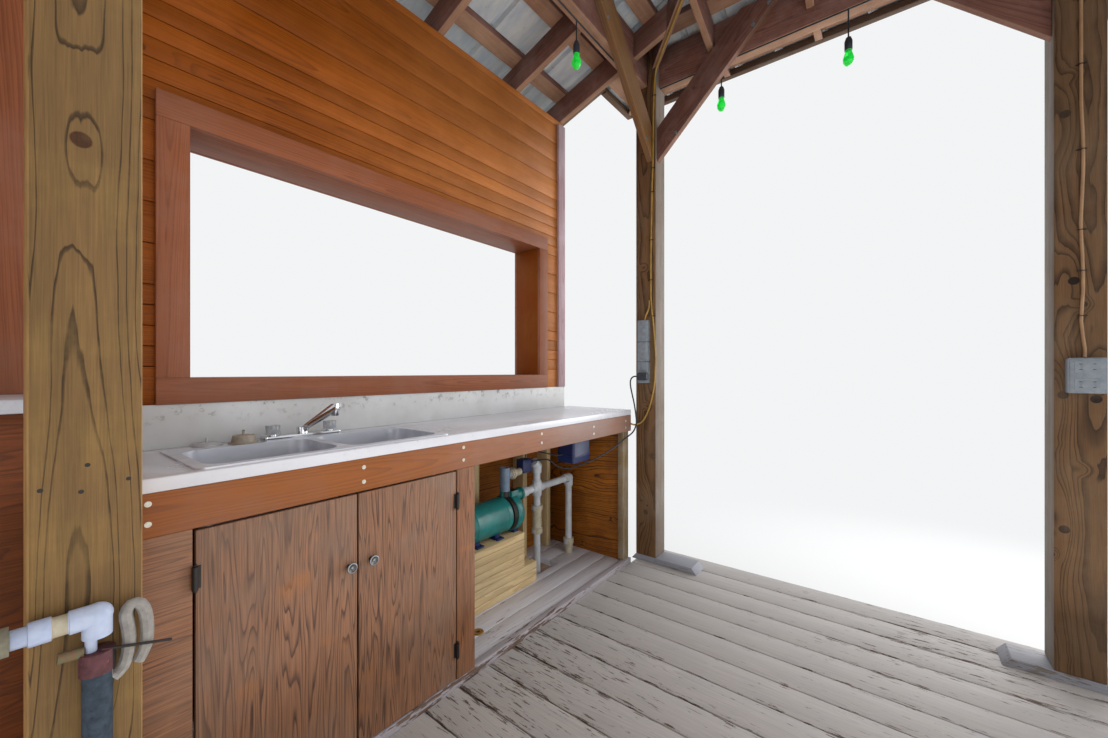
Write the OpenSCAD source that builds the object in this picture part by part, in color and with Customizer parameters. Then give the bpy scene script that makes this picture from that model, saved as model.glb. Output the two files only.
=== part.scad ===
/* [Plan] */
// Spacing of the posts along the bar wall
bay_x = 2485; // [2200:5:2800]
// Spacing of the posts across the deck
bay_y = 1790; // [1500:5:2200]
// Side of a square post
post_w = 135; // [120:1:160]
// Side of the newer post beside the sink
new_post_w = 145; // [130:1:170]
// Roof edge beyond the post centres
eave_out = 350; // [320:2:450]
// Deck edge beyond the post centres
deck_out = 180; // [170:1:200]

/* [Substructure] */
// Height of the deck above the foot of the piles
deck_z = 700; // [650:10:1200]
// Diameter of a round pile
pile_d = 230; // [200:5:280]
// Width left between the pile's two notches
pile_neck = 150; // [120:5:180]
// Height of a cap beam plank
cap_h = 235; // [180:5:260]
// Height of a floor joist
joist_h = 170; // [140:2:200]
// Thickness of framing planks
plank_t = 38; // [32:1:45]
// Largest spacing of the floor joists
joist_step = 410; // [300:10:600]
// Thickness of the deck boards
deck_t = 28; // [22:1:38]
// Spacing of the deck boards
deck_pitch = 153.2; // [130:0.1:170]
// Gap between deck boards
deck_gap = 6; // [3:1:10]
// Height of the bar floor above the deck
bar_floor_up = 16; // [10:1:24]
// Gap between bar floor boards
floor_gap = 3; // [2:1:8]

/* [Frame] */
// Underside of the header beams above the deck
beam_low = 2985; // [2700:5:3200]
// Height of a header beam
beam_h = 235; // [220:1:260]
// Thickness of a header beam
beam_t = 76; // [60:1:80]
// Thickness of a post shoe
shoe_t = 36; // [25:1:50]
// Length of a post shoe
shoe_l = 420; // [300:10:500]
// Bevel at the ends of a post shoe
shoe_bevel = 30; // [10:1:34]
// Distance from a post to where its brace passes under the beam
brace_run = 480; // [350:10:600]
// Height of a knee brace where it is cut plumb
brace_v = 208; // [150:1:220]

/* [Roof] */
// Rise of the roof for each unit of run
pitch = 0.3333; // [0.25:0.01:0.5]
// Height of a rafter
rafter_h = 140; // [120:2:160]
// Spacing of the rafters
rafter_step = 565; // [400:5:620]
// Width of a roof batten
batten_w = 89; // [70:1:100]
// Thickness of a roof batten
batten_t = 34; // [25:1:38]
// Spacing of the roof battens along the slope
batten_step = 560; // [450:10:700]
// Thickness of the roof sheet
sheet_t = 3; // [2:0.5:5]
// Spacing of the ribs in the roof sheet
rib_step = 230; // [180:5:300]
// Height of a rib
rib_h = 19; // [12:1:25]
// Width of a rib at its foot
rib_w = 44; // [30:1:60]
// Width of a rib at its top
rib_top = 18; // [10:1:28]
// Roof edge beyond the back of the bar
back_out = 300; // [200:10:400]
// Height of the boards along the roof edge
eave_board_h = 40; // [30:1:90]
// Roof edge beyond the end of the bar
rake_out = 100; // [60:5:140]
// Width of a cap over a hip or the ridge
cap_w = 260; // [200:10:320]

/* [Bar wall] */
// Distance from the post centres to the face of the bar wall
wall_set = 548; // [480:2:640]
// Thickness of the bar wall
wall_t = 178; // [150:2:200]
// Distance from the counter's right end back to the end of the bar wall
wall_in = 70; // [40:2:200]
// Siding left between the casing and the trim at the wall's end
strip_w = 117; // [60:1:300]
// Top of the bar wall's siding above the deck
wall_top = 2850; // [2600:5:2860]
// Left edge of the pass-through from the middle posts
open_x = 278; // [230:2:400]
// Sill of the pass-through above the deck
open_z = 1175; // [1120:5:1250]
// Height of the pass-through
open_h = 800; // [600:5:900]
// Width of the casing boards round the pass-through
casing_w = 82; // [60:1:100]
// Thickness of the casing boards
casing_t = 19; // [15:1:25]
// Thickness of the lining boards in the pass-through
liner_t = 20; // [15:1:25]
// Width of the trim board at the wall end
trim_w = 70; // [60:1:90]

/* [Counter] */
// Top of the counter above the deck
counter_z = 957; // [900:1:1000]
// Thickness of the counter's edge
counter_t = 33; // [28:1:45]
// Left end of the counter from the middle posts
counter_x0 = 60; // [45:1:80]
// Space between the counter's right end and the corner post
counter_gap = 65.5; // [20:0.5:120]
// Thickness of the backsplash
splash_t = 12; // [8:1:16]
// Height of the apron board
apron_h = 100; // [80:1:120]
// Thickness of the apron board
apron_t = 19; // [15:1:25]

/* [Sink] */
// Length of the sink over its rim
sink_l = 765; // [700:5:850]
// Width of the sink over its rim
sink_w = 392; // [370:2:420]
// Middle of the sink from the middle posts
sink_x = 575; // [560:5:700]
// Depth of a sink bowl
bowl_d = 165; // [120:5:190]
// Width of the rim beside a bowl
sink_rim = 28; // [20:1:40]
// Width of the ledge that carries the faucet
sink_ledge = 78; // [70:1:90]
// Thickness of the sink's sheet
sink_t = 2; // [1.5:0.5:3]
// Corner radius of a bowl
bowl_r = 50; // [30:1:70]

/* [Cabinet] */
// Left edge of the left door from the middle posts
doors_x = 184; // [170:1:190]
// Width of the left door
left_door_w = 399; // [360:1:420]
// Width of the right door
right_door_w = 384; // [350:1:410]
// Width of the right stile
stile_w = 88; // [70:1:110]
// Thickness of the doors and stiles
door_t = 18; // [16:1:24]
// Gap round a door
door_gap = 6; // [6:0.5:8]
// Radius of a hinge barrel
hinge_r = 6; // [5:0.5:8]
// Radius of a hinge pin
pin_r = 3; // [2.5:0.5:4]
// Free space between a pin and its barrel
pin_play = 0.4; // [0.3:0.1:0.8]
// Length of a hinge barrel
hinge_l = 66; // [50:2:90]
// Diameter of a door knob
knob_d = 32; // [26:1:38]
// Height of the door's top hinge below its top edge
hinge_in = 110; // [80:5:180]
// Width of the board under the doors
kick_w = 38; // [30:1:50]
// Height of that board above the deck
kick_up = 30; // [20:1:40]

/* [Pump] */
// Distance from the counter's right end to the left end of the pump stand
stand_in = 1112; // [1090:2:1160]
// Length of the lower part of the stand
stand_l = 535; // [520:5:560]
// Length of the upper part of the stand
stand_up_l = 434; // [420:2:450]
// Width of the stand
stand_w = 190; // [180:2:200]
// Boards in the lower part of the stand
stand_low_n = 3; // [2:1:4]
// Boards in the upper part of the stand
stand_up_n = 5; // [4:1:6]
// Diameter of the motor
motor_d = 182; // [150:2:200]
// Outer diameter of the pipes
pipe_d = 42; // [34:1:48]

/* [Left bar] */
// Top of the raised ledge above the deck
ledge_z = 1137; // [1050:1:1200]
// Depth of the raised ledge
ledge_w = 366; // [300:2:400]
// Thickness of the raised ledge
ledge_t = 29; // [25:1:40]

/* [Fittings] */
// Depth of an outlet box on a post
outlet_d = 45; // [35:1:50]
// Diameter of the foam sleeve on the riser pipe
foam_d = 40; // [34:1:44]
// Diameter of the riser's valve
valve_d = 48; // [44:1:60]
// Diameter of a light bulb
bulb_d = 48; // [40:1:52]
// Diameter of a sink strainer
strainer_d = 84; // [70:1:86]

/* [Hidden] */
$fn = 32;

eps = 1;
joint = 2;
// Space left between sloping faces that seat on each other
fit = 0.2;
slope = atan(pitch);
lay = cos(slope);
root2 = sqrt(2);

// Rows of posts, with the middle of the roof plan at zero
roof_run = 2 * bay_y + eave_out;
back_run = wall_set + wall_t + back_out;
bar_row = -(roof_run - back_run) / 2;
mid_row = bar_row + bay_y;
front_row = bar_row + 2 * bay_y;
cols_x = [-bay_x, 0, bay_x];
roof_x = bay_x + eave_out;
roof_front = front_row + eave_out;
roof_back = bar_row - back_run;
main_back = bar_row - eave_out;
ridge_y = mid_row;
half_y = bay_y + eave_out;
ridge_half = roof_x - half_y;

// Faces of the bar
bar_face = bar_row - post_w / 2;
wall_face = bar_row - wall_set;
wall_back = wall_face - wall_t;
bar_x = bay_x - post_w / 2 - counter_gap;
wall_end = bar_x - wall_in;
open_w = wall_end - trim_w - strip_w - casing_w - open_x;
rake_x = bar_x + rake_out;
back_t = 22;

// Heights
deck_under = deck_z - deck_t;
joist_low = deck_under - joist_h;
cap_low = joist_low - cap_h;
beam_z = deck_z + beam_low;
beam_top = beam_z + beam_h;
beam_clear = 4;
batten_v = batten_t / lay;
rafter_v = rafter_h / lay;
sheet_z = beam_top + post_w / 2 * pitch + beam_clear;
ridge_z = sheet_z + bay_y * pitch;
eave_z = ridge_z - half_y * pitch;
eave_low = eave_z - eave_board_h;
floor_z = deck_z + bar_floor_up;
counter_top = deck_z + counter_z;
counter_low = counter_top - counter_t;
apron_low = counter_low - apron_h;
kick_z = deck_z + kick_up;
door_low = kick_z + door_gap;
door_top = apron_low - door_gap;
sill_z = deck_z + open_z;
head_z = sill_z + open_h;
splash_top = sill_z - casing_w;
siding_top = deck_z + wall_top;
wall_low = counter_low - 120;
ledge_top = deck_z + ledge_z;
ledge_low = ledge_top - ledge_t;
tall = ridge_z + 500;

deck_x = bay_x + deck_out;
deck_front = front_row + deck_out;

wood_old = "#7a5c42";
wood_new = "#9c8559";
wood_red = "#a5582a";
wood_ply = "#8a5a38";
wood_yellow = "#c9a96a";
wood_deck = "#9c9894";
paint_white = "#e4e2da";
steel = "#b9bcbf";
black_iron = "#33312f";
roof_grey = "#b7bcc0";
teal = "#1f7f78";
pipe_white = "#dcdcd4";
switch_blue = "#1d2f6b";
box_grey = "#8d9194";
cable_tan = "#b59a52";
foam_grey = "#6f747c";
valve_red = "#7d3a3c";
bulb_green = "#3fae5a";

// A box by its low corner and its size
module bx(x, y, z, l, w, h)
{
    translate([x, y, z])
        cube([l, w, h]);
}

// Copies at the lake end and the land end
module both_ends()
{
    children();
    mirror([1, 0, 0])
        children();
}

// Seen from the deck, lengths along the bar run from left to right, which is toward -X
module from_left()
{
    mirror([1, 0, 0])
        children();
}

// The same shape on the front side of the ridge
module front_side()
{
    translate([0, 2 * mid_row, 0])
        mirror([0, 1, 0])
            children();
}

// Copies at the bar side and the front side
module both_sides()
{
    children();
    front_side()
        children();
}

// A rounded rectangle, from true squares and circles
module rounded(l, w, r)
{
    translate([r, 0])
        square([l - 2 * r, w]);
    translate([0, r])
        square([l, w - 2 * r]);
    for (x = [r, l - r], y = [r, w - r])
        translate([x, y])
            circle(r);
}

module pile()
{
    notch = (pile_d - pile_neck) / 2;
    difference() {
        cylinder(d = pile_d, h = joist_low);
        for (x = [-pile_d / 2 - eps, pile_neck / 2])
            bx(x, -pile_d, cap_low, notch + eps, 2 * pile_d, cap_h + eps);
    }
}

module piles()
{
    color(wood_old)
        for (x = cols_x, y = [wall_back + pile_d / 2, mid_row, front_row])
            translate([x, y, 0])
                pile();
}

module cap_beams()
{
    color(wood_old)
        for (x = cols_x, side = [-pile_neck / 2 - plank_t, pile_neck / 2])
            bx(x + side, wall_back, cap_low, plank_t, deck_front - plank_t - wall_back, cap_h);
}

joist_run = deck_front - plank_t - bar_face;
joist_n = ceil(joist_run / joist_step);
joist_pitch = joist_run / joist_n;

module floor_joists()
{
    color(wood_old) {
        for (i = [0 : joist_n - 1])
            bx(-deck_x + plank_t, bar_face + i * joist_pitch, joist_low,
                2 * (deck_x - plank_t), plank_t, joist_h);
        for (y = [wall_back, hole_y + hole_w + 10, bar_face - 2 * plank_t, bar_face - plank_t])
            bx(-bar_x, y, joist_low, 2 * bar_x, plank_t, joist_h);
    }
}

module rim_boards()
{
    color(wood_old) {
        both_ends()
            bx(deck_x - plank_t, bar_face, joist_low, plank_t,
                deck_front - plank_t - joint - bar_face, joist_h);
        bx(-deck_x, deck_front - plank_t, joist_low, 2 * deck_x, plank_t, joist_h);
    }
}

// Joints between the deck boards, counted from the one at the counter's left end
boards_left = round((deck_x + counter_x0) / deck_pitch);
boards_right = round((deck_x - counter_x0) / deck_pitch);
deck_joints = concat([-deck_x],
    [for (i = [1 - boards_left : boards_right - 1]) counter_x0 + i * deck_pitch], [deck_x]);

module deck_boards()
{
    from_left() color(wood_deck)
        for (i = [1 : len(deck_joints) - 1])
            bx(deck_joints[i - 1] + deck_gap / 2, bar_face, deck_under,
                deck_joints[i] - deck_joints[i - 1] - deck_gap, deck_front - bar_face, deck_t);
}

floor_n = 5;
floor_back = wall_back + back_t;
floor_step = (bar_face - kick_w - floor_back) / floor_n;
hole_in = 507;
hole_x = bar_x - hole_in;
hole_l = 200;
hole_y = bar_row - 560;
hole_w = 160;

module bar_floor()
{
    from_left() color(paint_white)
        difference() {
            for (i = [0 : floor_n - 1])
                bx(-bar_x, floor_back + i * floor_step, deck_under,
                    2 * bar_x, floor_step - floor_gap, floor_z - deck_under);
            bx(hole_x, hole_y, deck_under - eps, hole_l, hole_w, floor_z - deck_under + 2 * eps);
        }
}

module kick_board()
{
    color(wood_deck)
        bx(-bar_x, bar_face - kick_w, deck_under, 2 * bar_x, kick_w, deck_t + kick_up);
}

// A post with a notch for the header beam on its outer side, toward +X
module post(w, low)
{
    difference() {
        bx(-w / 2, -w / 2, low, w, w, beam_top - low);
        bx(w / 2 - beam_t, -w / 2 - eps, beam_z, beam_t + eps, w + 2 * eps, beam_h + eps);
    }
}

// A corner post is notched on a second side, toward +Y
module corner_post(low)
{
    difference() {
        post(post_w, low);
        bx(-post_w / 2 - eps, post_w / 2 - beam_t, beam_z, post_w + 2 * eps, beam_t + eps,
            beam_h + eps);
    }
}

module posts()
{
    color(wood_old) {
        both_ends() {
            both_sides()
                front_side()
                    translate([bay_x, front_row, 0])
                        corner_post(deck_z + shoe_t);
            translate([bay_x, mid_row, 0])
                post(post_w, deck_z + shoe_t);
        }
        translate([0, front_row, 0])
            rotate([0, 0, 90])
                post(post_w, deck_z);
    }
}

module new_post()
{
    color(wood_new)
        translate([0, bar_face, 0])
            difference() {
                bx(-new_post_w / 2, 0, deck_z, new_post_w, new_post_w, beam_top - deck_z);
                bx(-new_post_w / 2 - eps, -eps, beam_z, new_post_w + 2 * eps, beam_t + eps,
                    beam_h + eps);
            }
}

module shoe()
{
    rotate([90, 0, 90])
        linear_extrude(post_w)
            polygon([[-shoe_l / 2, 0], [shoe_l / 2, 0], [shoe_l / 2 - shoe_bevel, shoe_t],
                [shoe_bevel - shoe_l / 2, shoe_t]]);
}

// From a corner post's centre to the middle of its shoe
shoe_in = shoe_l / 2 - post_w / 2 - shoe_bevel;

module post_shoes()
{
    color(paint_white)
        both_ends() {
            translate([bay_x - post_w / 2, mid_row, deck_z])
                shoe();
            both_sides()
                translate([bay_x - post_w / 2, bar_row + shoe_in, deck_z])
                    shoe();
        }
}

// From a post's centre out to the inner face of its header beam
beam_in = post_w / 2 - beam_t;

module end_beams()
{
    color(wood_old)
        both_ends()
            bx(bay_x + beam_in, bar_face, beam_z, beam_t, 2 * bay_y + post_w, beam_h);
}

module side_beams()
{
    color(wood_old)
        both_sides()
            bx(-bay_x - beam_in, bar_face, beam_z, 2 * (bay_x + beam_in), beam_t, beam_h);
}

// A knee brace in the XZ plane, from a post's face at zero, lapped on the beam up to its top
module brace()
{
    up = beam_h - 12;
    rotate([90, 0, 0])
        linear_extrude(plank_t)
            polygon([[0, -brace_run], [brace_run + up, up], [brace_run + up - brace_v, up],
                [0, brace_v - brace_run]]);
}

// The brace from a corner post along the bar's beam
module side_brace()
{
    translate([bay_x - post_w / 2, bar_row - beam_in, beam_z])
        mirror([1, 0, 0])
            translate([0, plank_t, 0])
                brace();
}

// The four braces along an end beam
module end_braces()
{
    both_sides()
        for (y = [bar_row, mid_row], s = y == mid_row ? [-1] : [1])
            translate([bay_x + beam_in, y, beam_z])
                rotate([0, 0, 90])
                    mirror([s < 0 ? 1 : 0, 0, 0])
                        translate([post_w / 2, plank_t, 0])
                            brace();
}

module knee_braces()
{
    color(wood_old)
        both_ends() {
            end_braces();
            both_sides()
                side_brace();
        }
}

// Height of the sheet's underside on the bar side of the ridge
function plane(y) = ridge_z - (ridge_y - y) * pitch;

// A slab along the bar side's slope: its span in X, its run in Y, its top and its height
module side_slab(x0, x1, y0, y1, up, h)
{
    translate([x0, 0, 0])
        rotate([90, 0, 90])
            linear_extrude(x1 - x0)
                polygon([[y0, plane(y0) + up - h], [y1, plane(y1) + up - h],
                    [y1, plane(y1) + up], [y0, plane(y0) + up]]);
}

// The same along the lake end's slope: its span in Y and its run in X
module end_slab(y0, y1, x0, x1, up, h)
{
    z0 = ridge_z - (x0 - ridge_half) * pitch;
    z1 = ridge_z - (x1 - ridge_half) * pitch;
    translate([0, y1, 0])
        rotate([90, 0, 0])
            linear_extrude(y1 - y0)
                polygon([[x0, z0 + up - h], [x1, z1 + up - h], [x1, z1 + up], [x0, z0 + up]]);
}

// Plan of the bar side between the hips, drawn in by a distance
module side_plan(d)
{
    linear_extrude(tall)
        polygon([[d - roof_x, main_back], [roof_x - d, main_back], [ridge_half - d, ridge_y],
            [d - ridge_half, ridge_y]]);
}

// Plan of the lake end between the hips, drawn in by a distance
module end_plan(d)
{
    linear_extrude(tall)
        polygon([[roof_x, main_back + d], [roof_x, 2 * ridge_y - main_back - d],
            [ridge_half + d, ridge_y]]);
}

hip_half = plank_t / 2 * root2;
rafter_n = floor((bay_x - hip_half - plank_t) / rafter_step);
inner_y = bar_row - beam_in;

// Keeps what lies above the low edge of the eave boards, as rafter tails are cut level there
module above_eave()
{
    intersection() {
        children();
        bx(-roof_x, main_back, eave_low, 2 * roof_x, 2 * half_y, tall);
    }
}

// Rafters of one long side, the middle one short of its post
module side_rafters(middle_w)
{
    difference() {
        intersection() {
            for (i = [-rafter_n : rafter_n])
                side_slab(i * rafter_step - plank_t / 2, i * rafter_step + plank_t / 2,
                    i == 0 ? bar_face + middle_w : inner_y, ridge_y - plank_t / 2,
                    -batten_v - fit, rafter_v);
            side_plan(hip_half);
        }
        both_ends()
            side_brace();
    }
}

module long_rafters()
{
    color(wood_old) {
        side_rafters(new_post_w);
        front_side() {
            side_rafters(post_w);
            above_eave()
                for (i = [-rafter_n : rafter_n])
                    side_slab(i * rafter_step - plank_t / 2, i * rafter_step + plank_t / 2,
                        main_back + plank_t, bar_face, -batten_v - fit, rafter_v);
        }
    }
}

// Places of the end rafters each side of the middle, clear of the knee braces
end_at = [390, 895, 1400];

module end_rafters()
{
    color(wood_old)
        both_ends() {
            end_slab(mid_row - plank_t / 2, mid_row + plank_t / 2, ridge_half,
                bay_x - post_w / 2, -batten_v - fit, rafter_v);
            difference() {
                intersection() {
                    for (d = end_at, s = [-1, 1])
                        end_slab(mid_row + s * d - plank_t / 2, mid_row + s * d + plank_t / 2,
                            ridge_half, bay_x + beam_in, -batten_v - fit, rafter_v);
                    end_plan(hip_half);
                }
                end_braces();
            }
            above_eave()
                for (d = concat([0], end_at, -end_at))
                    end_slab(mid_row + d - plank_t / 2, mid_row + d + plank_t / 2,
                        bay_x + post_w / 2, roof_x - plank_t, -batten_v - fit, rafter_v);
        }
}

// The hip rafters hang this much under the other rafters
hip_drop = 5;

module hip_rafters()
{
    run = half_y * root2;
    top = ridge_z - batten_v - hip_drop;
    color(wood_old)
        both_ends()
            both_sides()
                difference() {
                    intersection() {
                        translate([ridge_half, ridge_y, 0])
                            rotate([0, 0, -45])
                                rotate([90, 0, 0])
                                    linear_extrude(plank_t, center = true)
                                        polygon([[-plank_t, top - rafter_v], [0, top - rafter_v],
                                            [run, top - rafter_v - half_y * pitch],
                                            [run, top - half_y * pitch], [0, top], [-plank_t, top]]);
                        bx(0, main_back + plank_t, 0, roof_x - plank_t,
                            half_y - plank_t * 3 / 2, tall);
                    }
                    bx(bay_x - post_w / 2, bar_face, 0, post_w, post_w, tall);
                    bx(bay_x + post_w / 2, main_back, 0, eave_out, eave_out, eave_low);
                }
}

module ridge_board()
{
    h = rafter_v + 15;
    color(wood_old)
        bx(-ridge_half, ridge_y - plank_t / 2, plane(ridge_y - plank_t / 2) - batten_v - fit - h,
            2 * ridge_half, plank_t, h);
}

bar_rafter_x = 136;
bar_rafter_n = floor((wall_end - bar_rafter_x) / rafter_step);

module bar_rafters()
{
    tail_from = wall_back - casing_t;
    color(wood_old)
        both_ends()
            difference() {
                for (x = concat([for (i = [0 : bar_rafter_n]) bar_rafter_x + i * rafter_step],
                    [wall_end - plank_t / 2]))
                    side_slab(x - plank_t / 2, x + plank_t / 2, roof_back + plank_t, bar_face,
                        -batten_v - fit, rafter_v);
                bx(0, roof_back, 0, rake_x, tail_from - roof_back,
                    plane(roof_back) - eave_board_h);
            }
}

// Plan distances of the battens from the ridge, clear of the beams, and beyond them
batten_p = batten_w * lay;
batten_first = 60;
batten_clear = 57;
batten_run = bay_y + beam_in - batten_p - batten_clear - batten_first;
batten_n = ceil(batten_run / batten_step);
batten_at = [for (i = [0 : batten_n]) batten_first + i * batten_run / batten_n];
batten_out = bay_y + post_w / 2 + 130;
batten_bar = [batten_out + 300, batten_out + 660];
hip_clear = 40;

module battens()
{
    color(wood_old) {
        both_sides()
            intersection() {
                for (d = concat(batten_at, [batten_out]))
                    side_slab(-roof_x, roof_x, ridge_y - d - batten_p, ridge_y - d, 0, batten_v);
                side_plan(hip_clear);
            }
        both_ends()
            intersection() {
                for (d = concat(batten_at, [batten_out]))
                    end_slab(main_back, 2 * ridge_y - main_back, ridge_half + d,
                        ridge_half + d + batten_p, 0, batten_v);
                end_plan(hip_clear);
            }
        for (d = batten_bar)
            side_slab(plank_t - rake_x, rake_x - plank_t, ridge_y - d - batten_p, ridge_y - d,
                0, batten_v);
    }
}

module eave_boards()
{
    h = eave_board_h;
    color(wood_old) {
        bx(-roof_x, roof_front - plank_t, eave_z - h, 2 * roof_x, plank_t, h);
        bx(-rake_x, roof_back, plane(roof_back) - h, 2 * rake_x, plank_t, h);
        both_ends() {
            bx(roof_x - plank_t, main_back + plank_t + joint, eave_z - h, plank_t,
                2 * (half_y - plank_t - joint), h);
            bx(rake_x + joint, main_back, eave_z - h, roof_x - rake_x - joint, plank_t, h);
            side_slab(rake_x - plank_t, rake_x, roof_back + plank_t + joint,
                main_back + plank_t, 0, h);
        }
    }
}

function rib_line(a, b, h) = concat([[a, -h]],
    [for (c = [a + rib_step / 2 : rib_step : b - rib_w])
        for (p = [[-rib_w / 2, 0], [-rib_top / 2, rib_h], [rib_top / 2, rib_h], [rib_w / 2, 0]])
            [c + p[0], -h - p[1]]],
    [[b, -h]]);

function turned(v) = [for (i = [len(v) - 1 : -1 : 0]) v[i]];

// Ribbed sheet over a slope that climbs toward +Y to a height at its top edge
module ribbed(a, b, y0, y1, z1)
{
    over = 60;
    l = (y1 - y0) / lay;
    translate([0, y0, z1 + fit - (y1 - y0) * pitch])
        rotate([slope - 90, 0, 0])
            translate([0, 0, -over])
                linear_extrude(l + 2 * over)
                    polygon(concat(rib_line(a, b, sheet_t), turned(rib_line(a, b, 0))));
}

module bar_roof()
{
    color(roof_grey)
        intersection() {
            ribbed(-roof_x, roof_x, roof_back, ridge_y, ridge_z);
            linear_extrude(tall)
                polygon([[-roof_x, main_back], [-rake_x, main_back], [-rake_x, roof_back],
                    [rake_x, roof_back], [rake_x, main_back], [roof_x, main_back],
                    [ridge_half, ridge_y], [-ridge_half, ridge_y]]);
        }
}

module front_roof()
{
    color(roof_grey)
        front_side()
            intersection() {
                ribbed(-roof_x, roof_x, main_back, ridge_y - joint / 2, plane(ridge_y - joint / 2));
                side_plan(joint);
                bx(-roof_x, main_back, 0, 2 * roof_x, half_y - joint / 2, tall);
            }
}

module end_roofs()
{
    color(roof_grey)
        both_ends()
            intersection() {
                rotate([0, 0, 90])
                    ribbed(main_back, 2 * ridge_y - main_back, -roof_x, -ridge_half, ridge_z);
                end_plan(joint);
            }
}

// A cap's cross-section: two flanges that fall from the middle
module cap_shape(fall)
{
    w = cap_w / 2;
    polygon([[0, 0], [w * fall, -w], [w * fall - sheet_t, -w], [-sheet_t, 0],
        [w * fall - sheet_t, w], [w * fall, w]]);
}

module roof_caps()
{
    up = ridge_z + (rib_h + sheet_t) / lay + 4 * fit;
    hip_slope = atan(pitch / root2);
    color(roof_grey) {
        translate([-ridge_half, ridge_y, up])
            rotate([0, 90, 0])
                linear_extrude(2 * ridge_half)
                    cap_shape(pitch);
        both_ends()
            both_sides()
                intersection() {
                    translate([ridge_half, ridge_y, up])
                        rotate([0, 0, -45])
                            rotate([0, 90 + hip_slope, 0])
                                linear_extrude(half_y * root2 / cos(hip_slope) + cap_w)
                                    cap_shape(pitch / root2 * cos(hip_slope));
                    bx(ridge_half + joint, main_back, 0, half_y - joint, half_y - joint, tall);
                }
    }
}

function under_rafter(y) = plane(y) - batten_v - rafter_v - 2 * fit;

// A length of the full-thickness wall, cut under the rafters
module high_wall(x0, x1, low)
{
    translate([x0, 0, 0])
        rotate([90, 0, 90])
            linear_extrude(x1 - x0)
                polygon([[wall_back, low], [wall_face, low], [wall_face, under_rafter(wall_face)],
                    [wall_back, under_rafter(wall_back)]]);
}

hole_x0 = open_x - liner_t;
hole_x1 = open_x + open_w + liner_t;

module wall_over_window()
{
    from_left() color(wood_red)
        high_wall(hole_x0, hole_x1, head_z + liner_t);
}

module wall_beside_window()
{
    from_left() color(wood_red) {
        high_wall(0, hole_x0, wall_low);
        high_wall(hole_x1, wall_end, wall_low);
    }
}

module wall_under_window()
{
    from_left() color(wood_red)
        bx(hole_x0, wall_back, wall_low, hole_x1 - hole_x0, wall_t, sill_z - liner_t - wall_low);
}

module left_wall()
{
    from_left() color(wood_red)
        high_wall(-wall_end, 0, floor_z);
}

module lower_back_wall()
{
    from_left() color(wood_red)
        bx(0, wall_back, deck_under, bar_x, back_t, wall_low - deck_under);
}

stud_w = 89;
end_stud_w = 68;
stud_step = 406;
stud_in = [143, 383];
stud_last = bar_x - stud_in[0];
stud_next = bar_x - stud_in[1];
stud_n = floor((stud_next - counter_x0 - stud_w / 2) / stud_step);
stud_at = concat([stud_last], [for (i = [0 : stud_n]) stud_next - i * stud_step]);

module bar_studs()
{
    from_left() color(wood_yellow) {
        for (x = stud_at)
            bx(x - plank_t / 2, floor_back, floor_z, plank_t, stud_w, wall_low - floor_z);
        bx(bar_x - end_stud_w, bar_face - apron_t - plank_t, kick_z, end_stud_w, plank_t,
            counter_low - kick_z);
    }
}

end_t = 48;
panel_t = 18;
ledge_face = wall_face + ledge_w;
panel_y = ledge_face - 70;

module bar_end_walls()
{
    from_left() color(wood_red) {
        bx(bar_x - end_t, floor_back, floor_z, end_t, bar_face - apron_t - plank_t - floor_back,
            counter_low - floor_z);
        bx(-bar_x, floor_back, floor_z, end_t, panel_y - floor_back, ledge_low - floor_z);
        bx(counter_x0 - panel_t, wall_face, floor_z, panel_t, panel_y - wall_face,
            ledge_low - floor_z);
    }
}

module window_lining()
{
    from_left() color(wood_red)
        difference() {
            bx(hole_x0, wall_back, sill_z - liner_t, hole_x1 - hole_x0, wall_t,
                open_h + 2 * liner_t);
            bx(open_x, wall_back - eps, sill_z, open_w, wall_t + 2 * eps, open_h);
        }
}

module casing(y)
{
    difference() {
        bx(open_x - casing_w, y, sill_z - casing_w, open_w + 2 * casing_w, casing_t,
            open_h + 2 * casing_w);
        bx(open_x, y - eps, sill_z, open_w, casing_t + 2 * eps, open_h);
    }
}

module window_casing()
{
    from_left() color(wood_red) {
        casing(wall_face);
        casing(wall_back - casing_t);
    }
}

left_trim_x = -112;

module wall_trims()
{
    from_left() color(wood_red) {
        bx(wall_end - trim_w, wall_face, splash_top, trim_w, casing_t, siding_top - splash_top);
        for (x = [left_trim_x, -wall_end])
            bx(x, wall_face, ledge_top, trim_w, casing_t, siding_top - ledge_top);
    }
}

module backsplash()
{
    from_left() color(paint_white)
        bx(counter_x0, wall_face, counter_top, wall_end - counter_x0, splash_t,
            splash_top - counter_top);
}

sink_front = 20;
sink_y = bar_face - sink_front - sink_w;
sink_x0 = sink_x - sink_l / 2;
cut_in = 12;

module counter()
{
    from_left() color(paint_white)
        difference() {
            bx(counter_x0, wall_face, counter_low, bar_x - counter_x0, bar_face - wall_face,
                counter_t);
            translate([sink_x0 + cut_in, sink_y + cut_in, counter_low - eps])
                linear_extrude(counter_t + 2 * eps)
                    rounded(sink_l - 2 * cut_in, sink_w - 2 * cut_in, bowl_r / 2);
        }
}

bowl_l = (sink_l - 3 * sink_rim) / 2;
bowl_w = sink_w - sink_rim - sink_ledge;
rim_t = 4;

module each_bowl()
{
    for (i = [0, 1])
        translate([sink_x0 + sink_rim + i * (bowl_l + sink_rim), sink_y + sink_ledge, 0])
            children();
}

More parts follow.
